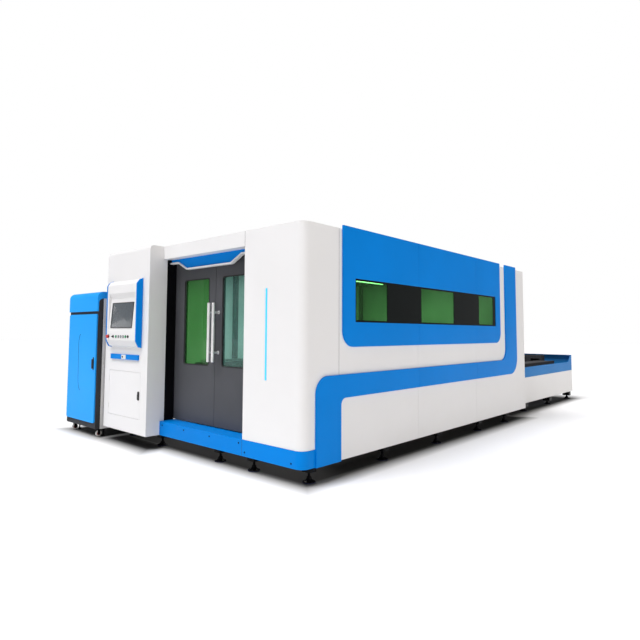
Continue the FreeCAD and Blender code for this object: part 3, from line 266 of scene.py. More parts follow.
# %% Node helpers
def new_finish(name):
    """An empty node material with its shader and output joined."""
    made = bpy.data.materials.new(name)
    made.use_nodes = True
    nodes, links = made.node_tree.nodes, made.node_tree.links
    nodes.clear()
    out = nodes.new("ShaderNodeOutputMaterial")
    shader = nodes.new("ShaderNodeBsdfPrincipled")
    links.new(shader.outputs[0], out.inputs[0])
    return made, nodes, links, shader


def noise(nodes, links, scale, detail=3.0, stretch=None, rough=0.5):
    """Noise on Object coordinates, so its grain has a real size; stretch pulls it along an axis."""
    place = nodes.new("ShaderNodeTexCoord").outputs["Object"]
    if stretch:
        pull = nodes.new("ShaderNodeMapping")
        pull.inputs["Scale"].default_value = stretch
        links.new(place, pull.inputs[0])
        place = pull.outputs[0]
    grain = nodes.new("ShaderNodeTexNoise")
    grain.inputs["Scale"].default_value = scale
    grain.inputs["Detail"].default_value = detail
    grain.inputs["Roughness"].default_value = rough
    links.new(place, grain.inputs["Vector"])
    return grain.outputs["Fac"]


def between(nodes, links, amount, start, end, near=0.3, far=0.7):
    """Spread an amount between two numbers, or two colours: near gives start, far gives end."""
    spread = nodes.new("ShaderNodeMapRange")
    spread.inputs["From Min"].default_value = near
    spread.inputs["From Max"].default_value = far
    links.new(amount, spread.inputs["Value"])
    if np.ndim(start) == 0:
        spread.inputs["To Min"].default_value = start
        spread.inputs["To Max"].default_value = end
        return spread.outputs["Result"]
    mix = nodes.new("ShaderNodeMix")
    mix.data_type = "RGBA"
    mix.inputs["A"].default_value = (*start, 1)
    mix.inputs["B"].default_value = (*end, 1)
    links.new(spread.outputs["Result"], mix.inputs["Factor"])
    return mix.outputs["Result"]


def relief(nodes, links, shader, height, strength, depth, edge=0.0):
    """Bump from a height, over an edge rounded to a radius in metres."""
    bump = nodes.new("ShaderNodeBump")
    bump.inputs["Strength"].default_value = strength
    bump.inputs["Distance"].default_value = depth
    links.new(height, bump.inputs["Height"])
    if edge:
        soft = nodes.new("ShaderNodeBevel")
        soft.samples = 4
        soft.inputs["Radius"].default_value = edge
        links.new(soft.outputs[0], bump.inputs["Normal"])
    links.new(bump.outputs[0], shader.inputs["Normal"])


def tinted(colour, share):
    """A colour with each channel times a share, kept between 0 and 1."""
    return tuple(float(c) for c in np.clip(np.array(colour) * share, 0, 1))


# %% Powder coat
PAINT_SHINE, PEEL_DEPTH, PAINT_EDGE = 0.06, 0.0003, 0.003


def powder_coat(name, colour, rough, coat=0.0, peel=0.08, drift=0.04):
    """Sheet-metal paint: drift of tone over 0.7 m, gloss over 0.5 m, orange peel at 2 mm."""
    made, nodes, links, shader = new_finish(name)
    tone = noise(nodes, links, 1.4, 4.0)
    links.new(between(nodes, links, tone, tinted(colour, 1 - drift), tinted(colour, 1 + drift)),
              shader.inputs["Base Color"])
    gloss = noise(nodes, links, 2.2, 2.0)
    links.new(between(nodes, links, gloss, rough * 0.92, rough * 1.08), shader.inputs["Roughness"])
    skin = noise(nodes, links, 420.0, 2.0)
    relief(nodes, links, shader, skin, peel, PEEL_DEPTH, PAINT_EDGE)
    shader.inputs["Specular IOR Level"].default_value = PAINT_SHINE
    shader.inputs["Coat Weight"].default_value = coat
    shader.inputs["Coat Roughness"].default_value = 0.18
    return made


WHITE = (0.80, 0.795, 0.80)
BLUE = (0.0, 0.215, 0.70)
finishes = {
    "white_paint": powder_coat("white_powder_coat", WHITE, 0.42, drift=0.015),
    "blue_paint": powder_coat("blue_powder_coat", BLUE, 0.36),
    "pale_blue_paint": powder_coat("source_blue_powder_coat", (0.020, 0.36, 0.94), 0.36),
    "rail_blue_paint": powder_coat("table_blue_powder_coat", (0.025, 0.20, 0.53), 0.40),
    "frame_paint": powder_coat("frame_dark_paint", (0.060, 0.060, 0.064), 0.5, peel=0.25, drift=0.15),
    "door_grey_paint": powder_coat("door_grey_paint", (0.085, 0.087, 0.096), 0.45, drift=0.10),
    "rim_grey_paint": powder_coat("rim_grey_paint", (0.045, 0.046, 0.050), 0.5, drift=0.10),
    "black_paint": powder_coat("black_paint", (0.0045, 0.0045, 0.0055), 0.22, drift=0.15),
}
print(len(finishes), "painted finishes")


# %% [markdown]
# Steel has grain. Ground and brushed faces are scratched in one direction, so their noise
# is pulled long along one axis, while the cutting slats are raw sheet, darkened and
# spattered by the heat of every cut above them.

# %% Steels
GRAIN_SCALE, GRAIN_DEPTH, STEEL_EDGE = 260.0, 0.00012, 0.0012


def grained_steel(name, colour, rough, stretch, metal=1.0):
    """Bare steel with a one-way grain: noise squeezed along one axis, in tone and relief."""
    made, nodes, links, shader = new_finish(name)
    grain = noise(nodes, links, GRAIN_SCALE, 4.0, stretch)
    links.new(between(nodes, links, grain, tinted(colour, 0.82), tinted(colour, 1.12)),
              shader.inputs["Base Color"])
    links.new(between(nodes, links, grain, rough * 0.75, rough * 1.3), shader.inputs["Roughness"])
    relief(nodes, links, shader, grain, 0.35, GRAIN_DEPTH, STEEL_EDGE)
    shader.inputs["Metallic"].default_value = metal
    return made


def cutting_slat_steel():
    """Raw slat sheet: blotches of heat tint at 60 mm over dark scale, and slag at 4 mm."""
    made, nodes, links, shader = new_finish("cutting_slat_steel")
    blotch = noise(nodes, links, 16.0, 6.0, rough=0.65)
    links.new(between(nodes, links, blotch, (0.13, 0.10, 0.085), (0.33, 0.31, 0.29), 0.35, 0.6),
              shader.inputs["Base Color"])
    links.new(between(nodes, links, blotch, 0.62, 0.38), shader.inputs["Roughness"])
    slag = noise(nodes, links, 240.0, 5.0, rough=0.7)
    relief(nodes, links, shader, slag, 0.6, 0.0008)
    shader.inputs["Metallic"].default_value = 0.75
    return made


finishes["handle_steel"] = grained_steel("brushed_handle_steel", (0.92, 0.92, 0.93), 0.42,
                                         (1, 1, 0.04), metal=0.55)
finishes["machined_steel"] = grained_steel("ground_steel", (0.56, 0.57, 0.59), 0.30, (1, 0.05, 1))
finishes["slat_steel"] = cutting_slat_steel()
print("steels made")


# %% [markdown]
# The panes are green because they stop the laser's infrared light. Green in the body of
# the pane, and not on its face, is transmission: light from the lamps inside comes
# through tinted, while the room still mirrors in the smooth surface.

# %% Glass, screen and plastics
PLASTIC_EDGE = 0.0006


def laser_safe_glass(name, deep, pale):
    """A tinted pane: its tint drifts a little from deep to pale, and a slight roller wave."""
    made, nodes, links, shader = new_finish(name)
    drift = noise(nodes, links, 1.1, 2.0)
    links.new(between(nodes, links, drift, deep, pale), shader.inputs["Base Color"])
    wave = noise(nodes, links, 3.0, 1.0)
    relief(nodes, links, shader, wave, 0.05, 0.002)
    shader.inputs["Transmission Weight"].default_value = 0.92
    shader.inputs["Roughness"].default_value = 0.03
    shader.inputs["IOR"].default_value = 1.18
    shader.inputs["Coat Weight"].default_value = 0.15
    shader.inputs["Coat Roughness"].default_value = 0.02
    return made


def plastic(name, colour, rough, grain=900.0, depth=0.0001, coat=0.0, shine=0.5):
    """Moulded plastic: fine spark-eroded grain and a slight change of tone."""
    made, nodes, links, shader = new_finish(name)
    tone = noise(nodes, links, 30.0, 3.0)
    links.new(between(nodes, links, tone, tinted(colour, 0.9), tinted(colour, 1.1)),
              shader.inputs["Base Color"])
    skin = noise(nodes, links, grain, 2.0)
    links.new(between(nodes, links, skin, rough * 0.85, rough * 1.15), shader.inputs["Roughness"])
    relief(nodes, links, shader, skin, 0.3, depth, PLASTIC_EDGE)
    shader.inputs["Coat Weight"].default_value = coat
    shader.inputs["Specular IOR Level"].default_value = shine
    return made


def lamp(name, colour, strength):
    """A lit diffuser: its own light, a little uneven along its length."""
    made, nodes, links, shader = new_finish(name)
    uneven = noise(nodes, links, 6.0, 2.0)
    links.new(between(nodes, links, uneven, tinted(colour, 0.85), colour), shader.inputs["Base Color"])
    shader.inputs["Emission Color"].default_value = (*colour, 1)
    shader.inputs["Emission Strength"].default_value = strength
    shader.inputs["Roughness"].default_value = 0.35
    return made


finishes["green_glass"] = laser_safe_glass("laser_safe_glass", (0.066, 0.33, 0.072), (0.14, 0.50, 0.15))
# The right door's pane is the same glass as the left; its paler teal tint is painted reflection.
right_pane_painted_reflection = laser_safe_glass("laser_safe_glass_painted_reflection", (0.22, 0.55, 0.46), (0.44, 0.80, 0.72))
finishes["trim_black"] = plastic("smoked_black_glazing", (0.005, 0.007, 0.007), 0.08, shine=0.15)
finishes["screen_black"] = plastic("display_bezel_black", (0.02, 0.022, 0.025), 0.30)
finishes["red_plastic"] = plastic("emergency_red", (0.60, 0.015, 0.012), 0.28, coat=0.4)
finishes["green_plastic"] = plastic("start_green", (0.02, 0.42, 0.16), 0.30, coat=0.4)
finishes["grey_plastic"] = plastic("button_grey", (0.42, 0.45, 0.47), 0.35)
finishes["dark_plastic"] = plastic("black_plastic", (0.012, 0.012, 0.014), 0.42)
finishes["white_plastic"] = plastic("white_nylon", (0.78, 0.78, 0.76), 0.40)
finishes["strip_cyan"] = lamp("cyan_light_strip", (0.02, 0.36, 0.66), 1.0)
lamp_white = lamp("cabin_lamp_diffuser", (1.0, 0.98, 0.94), 6.0)
rubber = plastic("black_rubber", (0.012, 0.012, 0.012), 0.75, 500.0, 0.0003)
foot_navy = plastic("navy_foot_rubber", (0.010, 0.014, 0.060), 0.6, 500.0, 0.0003)
hub_red = plastic("adjuster_red", (0.30, 0.02, 0.02), 0.40)
screen_glass = plastic("dark_screen_glass", (0.085, 0.10, 0.115), 0.22, coat=0.5)
print(len(finishes), "finishes by slot")

# %% Give every node its finish
slot_of = {part["node"]: part["material_slot"] for part in frame["record"]["subparts"]}
for node, made in frame["nodes"].items():
    for holder in made.material_slots:
        holder.material = finishes[slot_of[node]]
# The right pane gets the paler tint: painted reflection on the same glass.
frame["nodes"]["door_right_glass"].material_slots[0].material = right_pane_painted_reflection
print(len(slot_of), "nodes painted")


# %% [markdown]
# ## Doors
# Each sliding door is pulled by an upright steel bar on two posts. A bar is turned: its
# ends are domed, and each post stands on a thin flange where it is bolted to the door.
# The bars touch nothing else, so they take the frame's own boxes for length and place.

# %% Door handles
BAR_RADIUS, POST_RADIUS, FLANGE_RADIUS, POST_INSET = 0.016, 0.011, 0.018, 0.097


def bar_handle(node):
    """A domed bar and two flanged posts, as long as the node's box and as deep."""
    start, end = low(node), high(node)
    x = (start[0] + end[0]) / 2
    bar = [x, start[1] + BAR_RADIUS, start[2]]
    shapes = [turned(bar, UPWARDS, domed(BAR_RADIUS, end[2] - start[2], 0.35, 6), 40)]
    reach = end[1] - bar[1]
    post = [(0.001, 0), (POST_RADIUS, 0), (POST_RADIUS, reach - 0.008),
            (FLANGE_RADIUS - 0.001, reach - 0.006), (FLANGE_RADIUS, reach - 0.001), (0.001, reach)]
    for z in (start[2] + POST_INSET, end[2] - POST_INSET):
        shapes.append(turned([x, bar[1], z], -TO_FRONT, post, 28))
    return shapes


for side in ("left", "right"):
    piece(f"door_handle_{side}", bar_handle(f"handle_{side}"), finishes["handle_steel"],
          f"{side}_door", "handle_steel", [f"handle_{side}"])

# %% [markdown]
# A door pane is held by a rubber strip, and where the doors meet a soft strip closes the
# last millimetres. A strip is one small section carried round the window's outline.

# %% Rubber round the door panes
HALF_ROUND = [(-6, -2), (-6, 1), (-4.4, 2.6), (-2, 3.2), (2, 3.2), (4.4, 2.6), (6, 1), (6, -2)]
PANE_ROUND = 22
BULB_RADIUS, BULB_BACK, BULB_FOOT, BULB_HEAD = 0.0019, 0.012, 0.004, 0.055


def pane_strip(node, y):
    """The half-round strip along a pane's edge, on the door face at y."""
    start, end = low(node) / MM, high(node) / MM
    loop = outline(rectangle(start[0], end[0], start[2], end[2], PANE_ROUND), 8) * MM
    path = np.stack([loop[:, 0], np.full(len(loop), y), loop[:, 1]], axis=1)
    return swept(path, np.array(HALF_ROUND) * MM, TO_FRONT, closed=True)


for side in ("left", "right"):
    face, back = low(f"door_{side}")[1], high(f"door_{side}")[1]
    piece(f"pane_strip_{side}", [pane_strip(f"door_{side}_glass", face)], rubber,
          f"{side}_door", "trim_black")
seam_x = (high("door_left")[0] + low("door_right")[0]) / 2
seam_low, seam_high = low("door_left")[2] + BULB_FOOT, high("door_left")[2] - BULB_HEAD
bulb = turned([seam_x, low("door_left")[1] + BULB_BACK, seam_low], UPWARDS,
              domed(BULB_RADIUS, seam_high - seam_low), 12)
piece("door_edge_strip", [bulb], rubber, "left_door", "trim_black")

# %% [markdown]
# ## Feet, casters and screws
# A levelling foot is a disc with a rubber sole, a cone above it and a threaded spindle
# with a lock nut, screwed into a square block under the frame. All the feet are one node,
# so their places are read from the points of that node that lie on the floor.

# %% Levelling feet
def spots(points, reach):
    """Middles of clusters: take a point, gather all within reach, box them, repeat."""
    found = []
    while len(points):
        near = np.linalg.norm(points - points[0], axis=1) < reach
        found.append((points[near].min(axis=0) + points[near].max(axis=0)) / 2)
        points = points[~near]
    return np.array(found)


def node_points(node):
    """All points of a node's mesh as an array."""
    mesh = frame["nodes"][node].data
    points = np.empty(len(mesh.vertices) * 3)
    mesh.vertices.foreach_get("co", points)
    return points.reshape(-1, 3)


feet = node_points("levelling_feet")
FOOT_RADIUS, FOOT_TOP = 0.0575, 0.150
SPINDLE_LOW, NUT_LOW, THREADS = 0.046, 0.086, 28
TABLE_BLOCK, CABIN_BLOCK = (0.058, 0.064), (0.045, 0.090)
foot_places = spots(feet[feet[:, 2] < MM][:, :2], 0.13)
SOLE = [(0.001, 0), (FOOT_RADIUS - 0.002, 0), (FOOT_RADIUS, 0.002), (FOOT_RADIUS, 0.007),
        (0.001, 0.007)]
CONE = [(0.001, 0.007), (0.055, 0.007), (0.056, 0.010), (0.054, 0.013), (0.040, 0.017),
        (0.026, 0.028), (0.020, 0.042), (0.020, 0.048), (0.001, 0.048)]
turns = np.linspace(0, 1, 2 * THREADS + 1)
thread = np.stack([0.0113 + 0.0007 * np.cos(turns * math.pi * 2 * THREADS),
                   SPINDLE_LOW + (FOOT_TOP - SPINDLE_LOW) * turns], axis=1)
SPINDLE = [(0.001, SPINDLE_LOW), *thread.tolist(), (0.001, FOOT_TOP)]
NUT = [(0.010, 0), (0.020, 0), (0.0215, 0.002), (0.0215, 0.014), (0.020, 0.016), (0.010, 0.016)]


def nut(x, y, z):
    """A hexagonal nut: a turned profile with only six sides."""
    return turned([x, y, z], UPWARDS, NUT, 6)


table_start = low("table_frame")[1]
soles = [turned([x, y, 0], UPWARDS, SOLE, 40) for x, y in foot_places]
metal = []
for x, y in foot_places:
    metal.append(turned([x, y, 0], UPWARDS, CONE, 36))
    metal.append(turned([x, y, 0], UPWARDS, SPINDLE, 16))
    metal.append(nut(x, y, NUT_LOW))
piece("foot_soles", soles, foot_navy, "machine", "trim_black", ["levelling_feet"])
piece("foot_spindles", metal, finishes["black_paint"], "machine", "black_paint")


def block(x0, x1, y0, y1, z0, z1, edge=0.003):
    """A block with a rounded rim on every upright and top edge, in metres."""
    def plane(u_, v_, depth):
        return np.stack([u_, v_, z0 / MM + depth], axis=-1) * MM
    return plate(rectangle(x0 / MM, x1 / MM, y0 / MM, y1 / MM, edge / MM), plane,
                 (z1 - z0) / MM, edge / MM, 3)


blocks = []
for x, y in foot_places:
    half, lowest = TABLE_BLOCK if y > table_start else CABIN_BLOCK
    blocks.append(block(x - half, x + half, y - half, y + half, lowest, FOOT_TOP - 0.001))
piece("foot_blocks", blocks, finishes["black_paint"], "machine", "black_paint")
print(len(foot_places), "feet")

# %% Caster wheels
WHEEL_RADIUS = (high("caster_wheel_1")[2] - low("caster_wheel_1")[2]) / 2
WHEEL_WIDE = high("caster_wheel_1")[0] - low("caster_wheel_1")[0]
AXLE_ROOM = 0.0063
TYRE_BORE, HUB_RIM = WHEEL_RADIUS * 0.62, WHEEL_RADIUS * 0.64


def wheel_ring(inner, outer, start, end, edge):
    """A ring's profile: inner and outer radius, start and end along the axle, rounded rims."""
    turn = np.linspace(0, math.pi / 2, 5)
    first = np.stack([outer - edge + edge * np.sin(turn), start + edge - edge * np.cos(turn)], axis=1)
    last = first[::-1] * (1, -1) + (0, start + end)
    return np.concatenate([[(inner, start)], first, last, [(inner, end)]])


TYRE = wheel_ring(TYRE_BORE, WHEEL_RADIUS, 0.0005, WHEEL_WIDE - 0.0005, 0.007)
HUB = wheel_ring(AXLE_ROOM, HUB_RIM, 0.0, WHEEL_WIDE, 0.003)


def ring_shape(start, direction, profile, sides=36):
    """A turned ring whose bore stays open: its profile closes on itself."""
    points, _ = turned(start, direction, profile, sides)
    rows = len(profile)
    loop = points.reshape(rows, sides, 3)
    return grid(np.concatenate([loop, loop[:1]]), ends=False)


for number in range(1, 5):
    node = f"caster_wheel_{number}"
    start = [low(node)[0], middle(node)[1], middle(node)[2]]
    piece(f"caster_tyre_{number}", [ring_shape(start, ACROSS, TYRE)], finishes["white_plastic"],
          f"wheel_{number}", "white_plastic", [node])
    piece(f"caster_hub_{number}", [ring_shape(start, ACROSS, HUB)], hub_red,
          f"wheel_{number}", "red_plastic")

# %% Button-head screws on the blue sill and skirt
SCREW = [(0.0005, 0.0021), (0.0030, 0.0021), (0.0030, 0.0036), (0.0048, 0.00348),
         (0.0075, 0.0021), (0.0085, 0.0), (0.0005, -0.0006)]
sill_face = low("front_skirts")[1]
screw_places = [(-2060, 252), (-1660, 252), (-1229, 250), (-791, 252), (-707, 180), (-122, 181)]
screws = [turned([here(x, 0, z)[0], sill_face, here(x, 0, z)[2]], TO_FRONT, SCREW, 20)
          for x, z in screw_places]
piece("sill_screws", screws, finishes["black_paint"], "machine", "black_paint")

# %% [markdown]
# ## Light strip and lamps
# The strip on the front column glows cyan while the machine is ready. Its diffuser is a
# shallow vault in a thin frame, so it shades from its middle to its edges. Inside, four
# long lamps hang under the roof and light the bed.

# %% Light strip
strip_low, strip_high = low("light_strip"), high("light_strip")
strip_wide = (strip_high[0] - strip_low[0]) / MM
strip_tall = (strip_high[2] - strip_low[2]) / MM
frame_deep = (strip_high[1] - strip_low[1]) / MM


def on_column(u_, v_, depth):
    """Strip millimetres to metres: u across, v up, depth out of the column's face."""
    place = np.stack([u_ * MM, -depth * MM, v_ * MM], axis=-1)
    return place + np.array([strip_low[0], strip_high[1], strip_low[2]])


VAULT_INSET, RIM_INSET = 1.5, 0.8
vault_outline = rectangle(VAULT_INSET, strip_wide - VAULT_INSET, VAULT_INSET, strip_tall - VAULT_INSET, 5)
vault = plate(vault_outline, on_column, frame_deep, 3.0, 6)
rim = outline(rectangle(RIM_INSET, strip_wide - RIM_INSET, RIM_INSET, strip_tall - RIM_INSET, 6), 6)
path = on_column(rim[:, 0], rim[:, 1], np.zeros(len(rim)))
rim_section = np.array([(-0.8, 0), (-0.8, 1.6), (-0.4, 2), (0.4, 2), (0.8, 1.6), (0.8, 0)]) * MM
piece("strip_diffuser", [vault], finishes["strip_cyan"], "machine", "strip_cyan", ["light_strip"])
piece("strip_frame", [swept(path, rim_section, TO_FRONT, closed=True)], finishes["white_plastic"],
      "machine", "white_plastic")

# %% Lamps under the roof
LAMP_LONG, LAMP_RADIUS, HOUSING_HALF, END_ROOM = 1.2, 0.020, 0.04, 0.02
roof_under = high("bed_frame")[2] - 0.065
lamps, housings = [], []
for x in (-620, -2160):
    for y in (1900, 3700):
        start = here(x, y, 0) - np.array([0, LAMP_LONG / 2, 0])
        lamps.append(turned([start[0], start[1], roof_under - 0.030], -TO_FRONT,
                            domed(LAMP_RADIUS, LAMP_LONG, 0.3), 20))
        housings.append(block(start[0] - HOUSING_HALF, start[0] + HOUSING_HALF,
                              start[1] - END_ROOM, start[1] + LAMP_LONG + END_ROOM,
                              roof_under - 0.025, roof_under + 0.004))
piece("cabin_lamp_tubes", lamps, lamp_white, "machine", "strip_cyan")
piece("cabin_lamp_housings", housings, finishes["white_paint"], "machine", "white_paint")

# %% [markdown]
# ## Console
# The operator's console is a white face between two blue cheeks. The display leans back
# in its niche behind a thin black border. Below it, straight out of the upright face, are
# an emergency stop, a key switch and a row of push buttons.

# %% Console cheeks
CHEEK_THICK = 0.020
CHEEK = [(0, 0, 0), (36, 6, 26), (71, 74, 30), (71, 706, 34), (36, 752, 26), (0, 765, 0)]


def cheek(x0, x1):
    """A cheek plate: its outline in Y and Z, rounded towards the outside at x1."""
    base = np.array([x0, high("console_cheeks")[1], low("console_cheeks")[2]])
    way = 1 if x1 > x0 else -1

    def plane(u_, v_, depth):
        return np.stack([way * depth * MM, -u_ * MM, v_ * MM], axis=-1) + base
    return plate(CHEEK, plane, abs(x1 - x0) / MM, 3.0, 5)


left, right = low("console_cheeks")[0], high("console_cheeks")[0]
piece("console_cheek_plates", [cheek(left + CHEEK_THICK, left), cheek(right - CHEEK_THICK, right)],
      finishes["blue_paint"], "machine", "blue_paint", ["console_cheeks"])

# %% Places on the leaning display
NICHE_DEEP, NICHE_TALL = 28, 380
LEAN = math.atan2(NICHE_DEEP, NICHE_TALL)
UP = np.array([0.0, math.sin(LEAN), math.cos(LEAN)])
OUT = np.array([0.0, -math.cos(LEAN), math.sin(LEAN)])
display_wide = (high("display")[0] - low("display")[0]) / MM
DISPLAY_TALL, DISPLAY_THICK = 290, 6
face_middle = middle("display") - OUT * DISPLAY_THICK / 2 * MM


def on_face(u_, v_, depth):
    """Display millimetres to metres: its back's middle + across * u + up * v + out * depth."""
    u_, v_, depth = (np.asarray(n, float)[..., None] * MM for n in (u_, v_, depth))
    return face_middle + ACROSS * u_ + UP * v_ + OUT * depth


# %% Display
half_wide, half_tall = display_wide / 2, DISPLAY_TALL / 2
border = outline(rectangle(-half_wide + 4, half_wide - 4, -half_tall + 4, half_tall - 4, 5), 5)
border_path = on_face(border[:, 0], border[:, 1], np.zeros(len(border)))
border_section = np.array([(-4, 0), (-4, 4.6), (-3, 5.6), (3, 5.6), (4, 4.4), (4, 0)]) * MM
screen_outline = rectangle(-half_wide + 5, half_wide - 5, -half_tall + 5, half_tall - 5, 3)
screen = plate(screen_outline, on_face, 3.2, 0.8, 3)
piece("display_border", [swept(border_path, border_section, OUT, closed=True)],
      finishes["screen_black"], "machine", "screen_black", ["display"])
piece("display_screen", [screen], screen_glass, "machine", "screen_black")

# %% Push buttons, key switch and emergency stop
CAP = [(0.0002, -0.010), (0.0118, -0.010), (0.0118, 0.007), (0.0112, 0.0085), (0.0095, 0.0095),
       (0.0002, 0.0105)]
BEZEL = [(0.0122, 0), (0.0165, 0), (0.0165, 0.003), (0.0155, 0.0045), (0.0130, 0.0050),
         (0.0122, 0.0045)]
FACE_FRONT = low("console_face")[1]


def face_foot(node):
    """Where a round part's axis meets the console's upright face."""
    centre = middle(node)
    return np.array([centre[0], FACE_FRONT, centre[2]])


bezels = []
button_finish = {1: "green_plastic", 2: "grey_plastic", 3: "grey_plastic", 4: "grey_plastic",
                 5: "green_plastic", 6: "dark_plastic"}
for number, slot in button_finish.items():
    place = face_foot(f"push_button_{number}")
    piece(f"button_cap_{number}", [turned(place, TO_FRONT, CAP, 32)], finishes[slot],
          f"button_{number}", slot, [f"push_button_{number}"])
    bezels.append(ring_shape(place, TO_FRONT, BEZEL))
key_place = face_foot("key_switch")
stop_place = face_foot("e_stop_button")
bezels.append(ring_shape(key_place, TO_FRONT, BEZEL))
COLLAR = [(0.0122, 0), (0.0215, 0), (0.0215, 0.0015), (0.0200, 0.0030), (0.0122, 0.0030)]
piece("button_bezels", bezels, finishes["dark_plastic"], "machine", "dark_plastic")
piece("stop_collar", [ring_shape(stop_place, TO_FRONT, COLLAR)], finishes["dark_plastic"], "machine",
      "dark_plastic")
KEY_BARREL = [(0.0002, -0.010), (0.0118, -0.010), (0.0118, 0.010), (0.0105, 0.0120),
              (0.0002, 0.0120)]


def key_bow():
    """The key's flat bow: a small rounded plate standing on the barrel."""
    def plane(u_, v_, depth):
        flat = np.asarray(depth, float)[..., None] - 1.1
        return (key_place + ACROSS * flat * MM + UPWARDS * np.asarray(u_)[..., None] * MM
                + TO_FRONT * np.asarray(v_)[..., None] * MM)
    return plate(rectangle(-5, 5, 11, 25, 4), plane, 2.2, 0.6, 3)


piece("key_barrel", [turned(key_place, TO_FRONT, KEY_BARREL, 32), key_bow()], finishes["dark_plastic"],
      "key", "dark_plastic", ["key_switch"])
MUSHROOM = [(0.0002, -0.010), (0.0118, -0.010), (0.0118, 0.012), (0.0185, 0.0125),
            (0.0198, 0.0150), (0.0198, 0.0205), (0.0185, 0.0245), (0.0140, 0.0280),
            (0.0070, 0.0296), (0.0002, 0.0299)]
piece("stop_mushroom", [turned(stop_place, TO_FRONT, MUSHROOM, 40)], finishes["red_plastic"],
      "emergency_stop", "red_plastic", ["e_stop_button"])

# %% [markdown]
# ## Latches and lock handles
# The keyboard drawer has a white latch plate with a key cylinder, the lower door a black
# lock bar, and the source cabinet a black swing handle. Each is a rounded plate in the
# plane of its front, with a raised part on it. The lock bar turns over the cabinet's
# face, so its back stands a little clear of it.

# %% Plates on front faces
def front_plane(x, y, z):
    """A plane on a front face: u across, v up, depth towards the viewer at the doors."""
    base = np.array([x, y, z])

    def plane(u_, v_, depth):
        return np.stack([u_ * MM, -np.asarray(depth) * MM, v_ * MM], axis=-1) + base
    return plane


def latch_parts(node, thick):
    """The plane on a node's back face, its half sizes in millimetres, and a middle thick ahead."""
    centre, back = middle(node), high(node)[1]
    half = (high(node) - low(node)) / 2 / MM
    return front_plane(centre[0], back, centre[2]), half, [centre[0], back - thick, centre[2]]


plane, half, face = latch_parts("drawer_latch", 0.005)
piece("drawer_latch_plate", [plate(rectangle(-half[0], half[0], -half[2], half[2], 6), plane, 5, 1.5)],
      finishes["white_plastic"], "latch", "white_plastic", ["drawer_latch"])
cylinder_at = [face[0] - 0.018, face[1], face[2]]
LOCK_CYLINDER = [(0.0002, -0.001), (0.0105, -0.001), (0.0105, 0.0025), (0.0090, 0.0050),
                 (0.0002, 0.0050)]
slit = plate(rectangle(-1.2, 1.2, -5.5, 5.5, 1), front_plane(*cylinder_at), 5.6, 0.3, 3)
piece("drawer_lock_cylinder", [turned(cylinder_at, TO_FRONT, LOCK_CYLINDER, 32), slit],
      finishes["dark_plastic"], "latch", "dark_plastic")

BAR_CLEAR = 0.0006
_, half, face = latch_parts("cabinet_lock", 0.007)
lever = plate(rectangle(-half[0] + 5, half[0] - 5, -half[2] + 8, half[2] - 26, 9),
              front_plane(*face), 5, 2.0)
barrel = turned([face[0], face[1], face[2] + (half[2] - 15) * MM], TO_FRONT,
                [(0.0002, 0), (0.010, 0), (0.010, 0.003), (0.0085, 0.0048), (0.0002, 0.0048)], 28)
off_face = front_plane(face[0], high("cabinet_lock")[1] - BAR_CLEAR, face[2])
bar = plate(rectangle(-half[0], half[0], -half[2], half[2], 12), off_face, 6.4, 2.0)
piece("cabinet_lock_bar", [bar, lever, barrel], finishes["dark_plastic"], "lower_lock",
      "dark_plastic", ["cabinet_lock"])

plane, half, face = latch_parts("source_handle", 0.006)
grip = plate(rectangle(-8, 8, -60, 52, 7), front_plane(*face), 18, 4.0, 5)
piece("source_swing_handle", [plate(rectangle(-half[0], half[0], -half[2], half[2], 11), plane, 6, 1.5),
                              grip], finishes["dark_plastic"], "laser_door_handle", "dark_plastic",
      ["source_handle"])

# %% [markdown]
# A dark line is pressed into the source cabinet's door; its dark blue is painted shade of
# the groove. It runs nearly straight and curls at both ends: across = middle - slope *
# height + curl * |height| ** 7, where height goes from -1 to 1.

# %% Pressed line on the source door
LINE_MIDDLE, LINE_SLOPE, LINE_CURL, LINE_HEIGHT, LINE_REACH = -3606, 12, 52, 873, 346
height = np.linspace(-1, 1, 61)
line_x = LINE_MIDDLE - LINE_SLOPE * height + LINE_CURL * np.abs(height) ** 7
line_path = here(line_x, 0, LINE_HEIGHT + LINE_REACH * height)
line_path[:, 1] = low("source_door")[1]
LINE_SECTION = np.array([(-5, -0.5), (-5, 0.2), (-2.5, 0.6), (2.5, 0.6), (5, 0.2), (5, -0.5)]) * MM
# Darker blue of the pressed line: painted shade of the groove.
groove_painted_shade = powder_coat("pressed_line_painted_shade", (0.0, 0.07, 0.30), 0.45, coat=0.1)
piece("source_door_line", [swept(line_path, LINE_SECTION, TO_FRONT)], groove_painted_shade, "laser_door",
      "blue_paint")

# %% [markdown]
# Three panel joints show as dark lines: between the header and the front column, between
# the two blue skirts, and between the column and the first side panel. Each line is a
# strip of sealant that stands slightly proud of the faces on both sides.

# %% Joint lines between the front panels
LINE_HALF, LINE_PROUD = 1.5, 0.4


def joint_line(plane, length):
    """A thin dark strip along a joint: plane gives its foot, length is in millimetres."""
    return plate(rectangle(-LINE_HALF, LINE_HALF, 0, length, 0.5), plane, LINE_PROUD, 0.15, 2)


def side_plane(x, y, z):
    """A plane on the window side: u along the machine, v up, depth away from it."""
    base = np.array([x, y, z])

    def plane(u_, v_, depth):
        return np.stack([np.asarray(depth) * MM, u_ * MM, v_ * MM], axis=-1) + base
    return plane


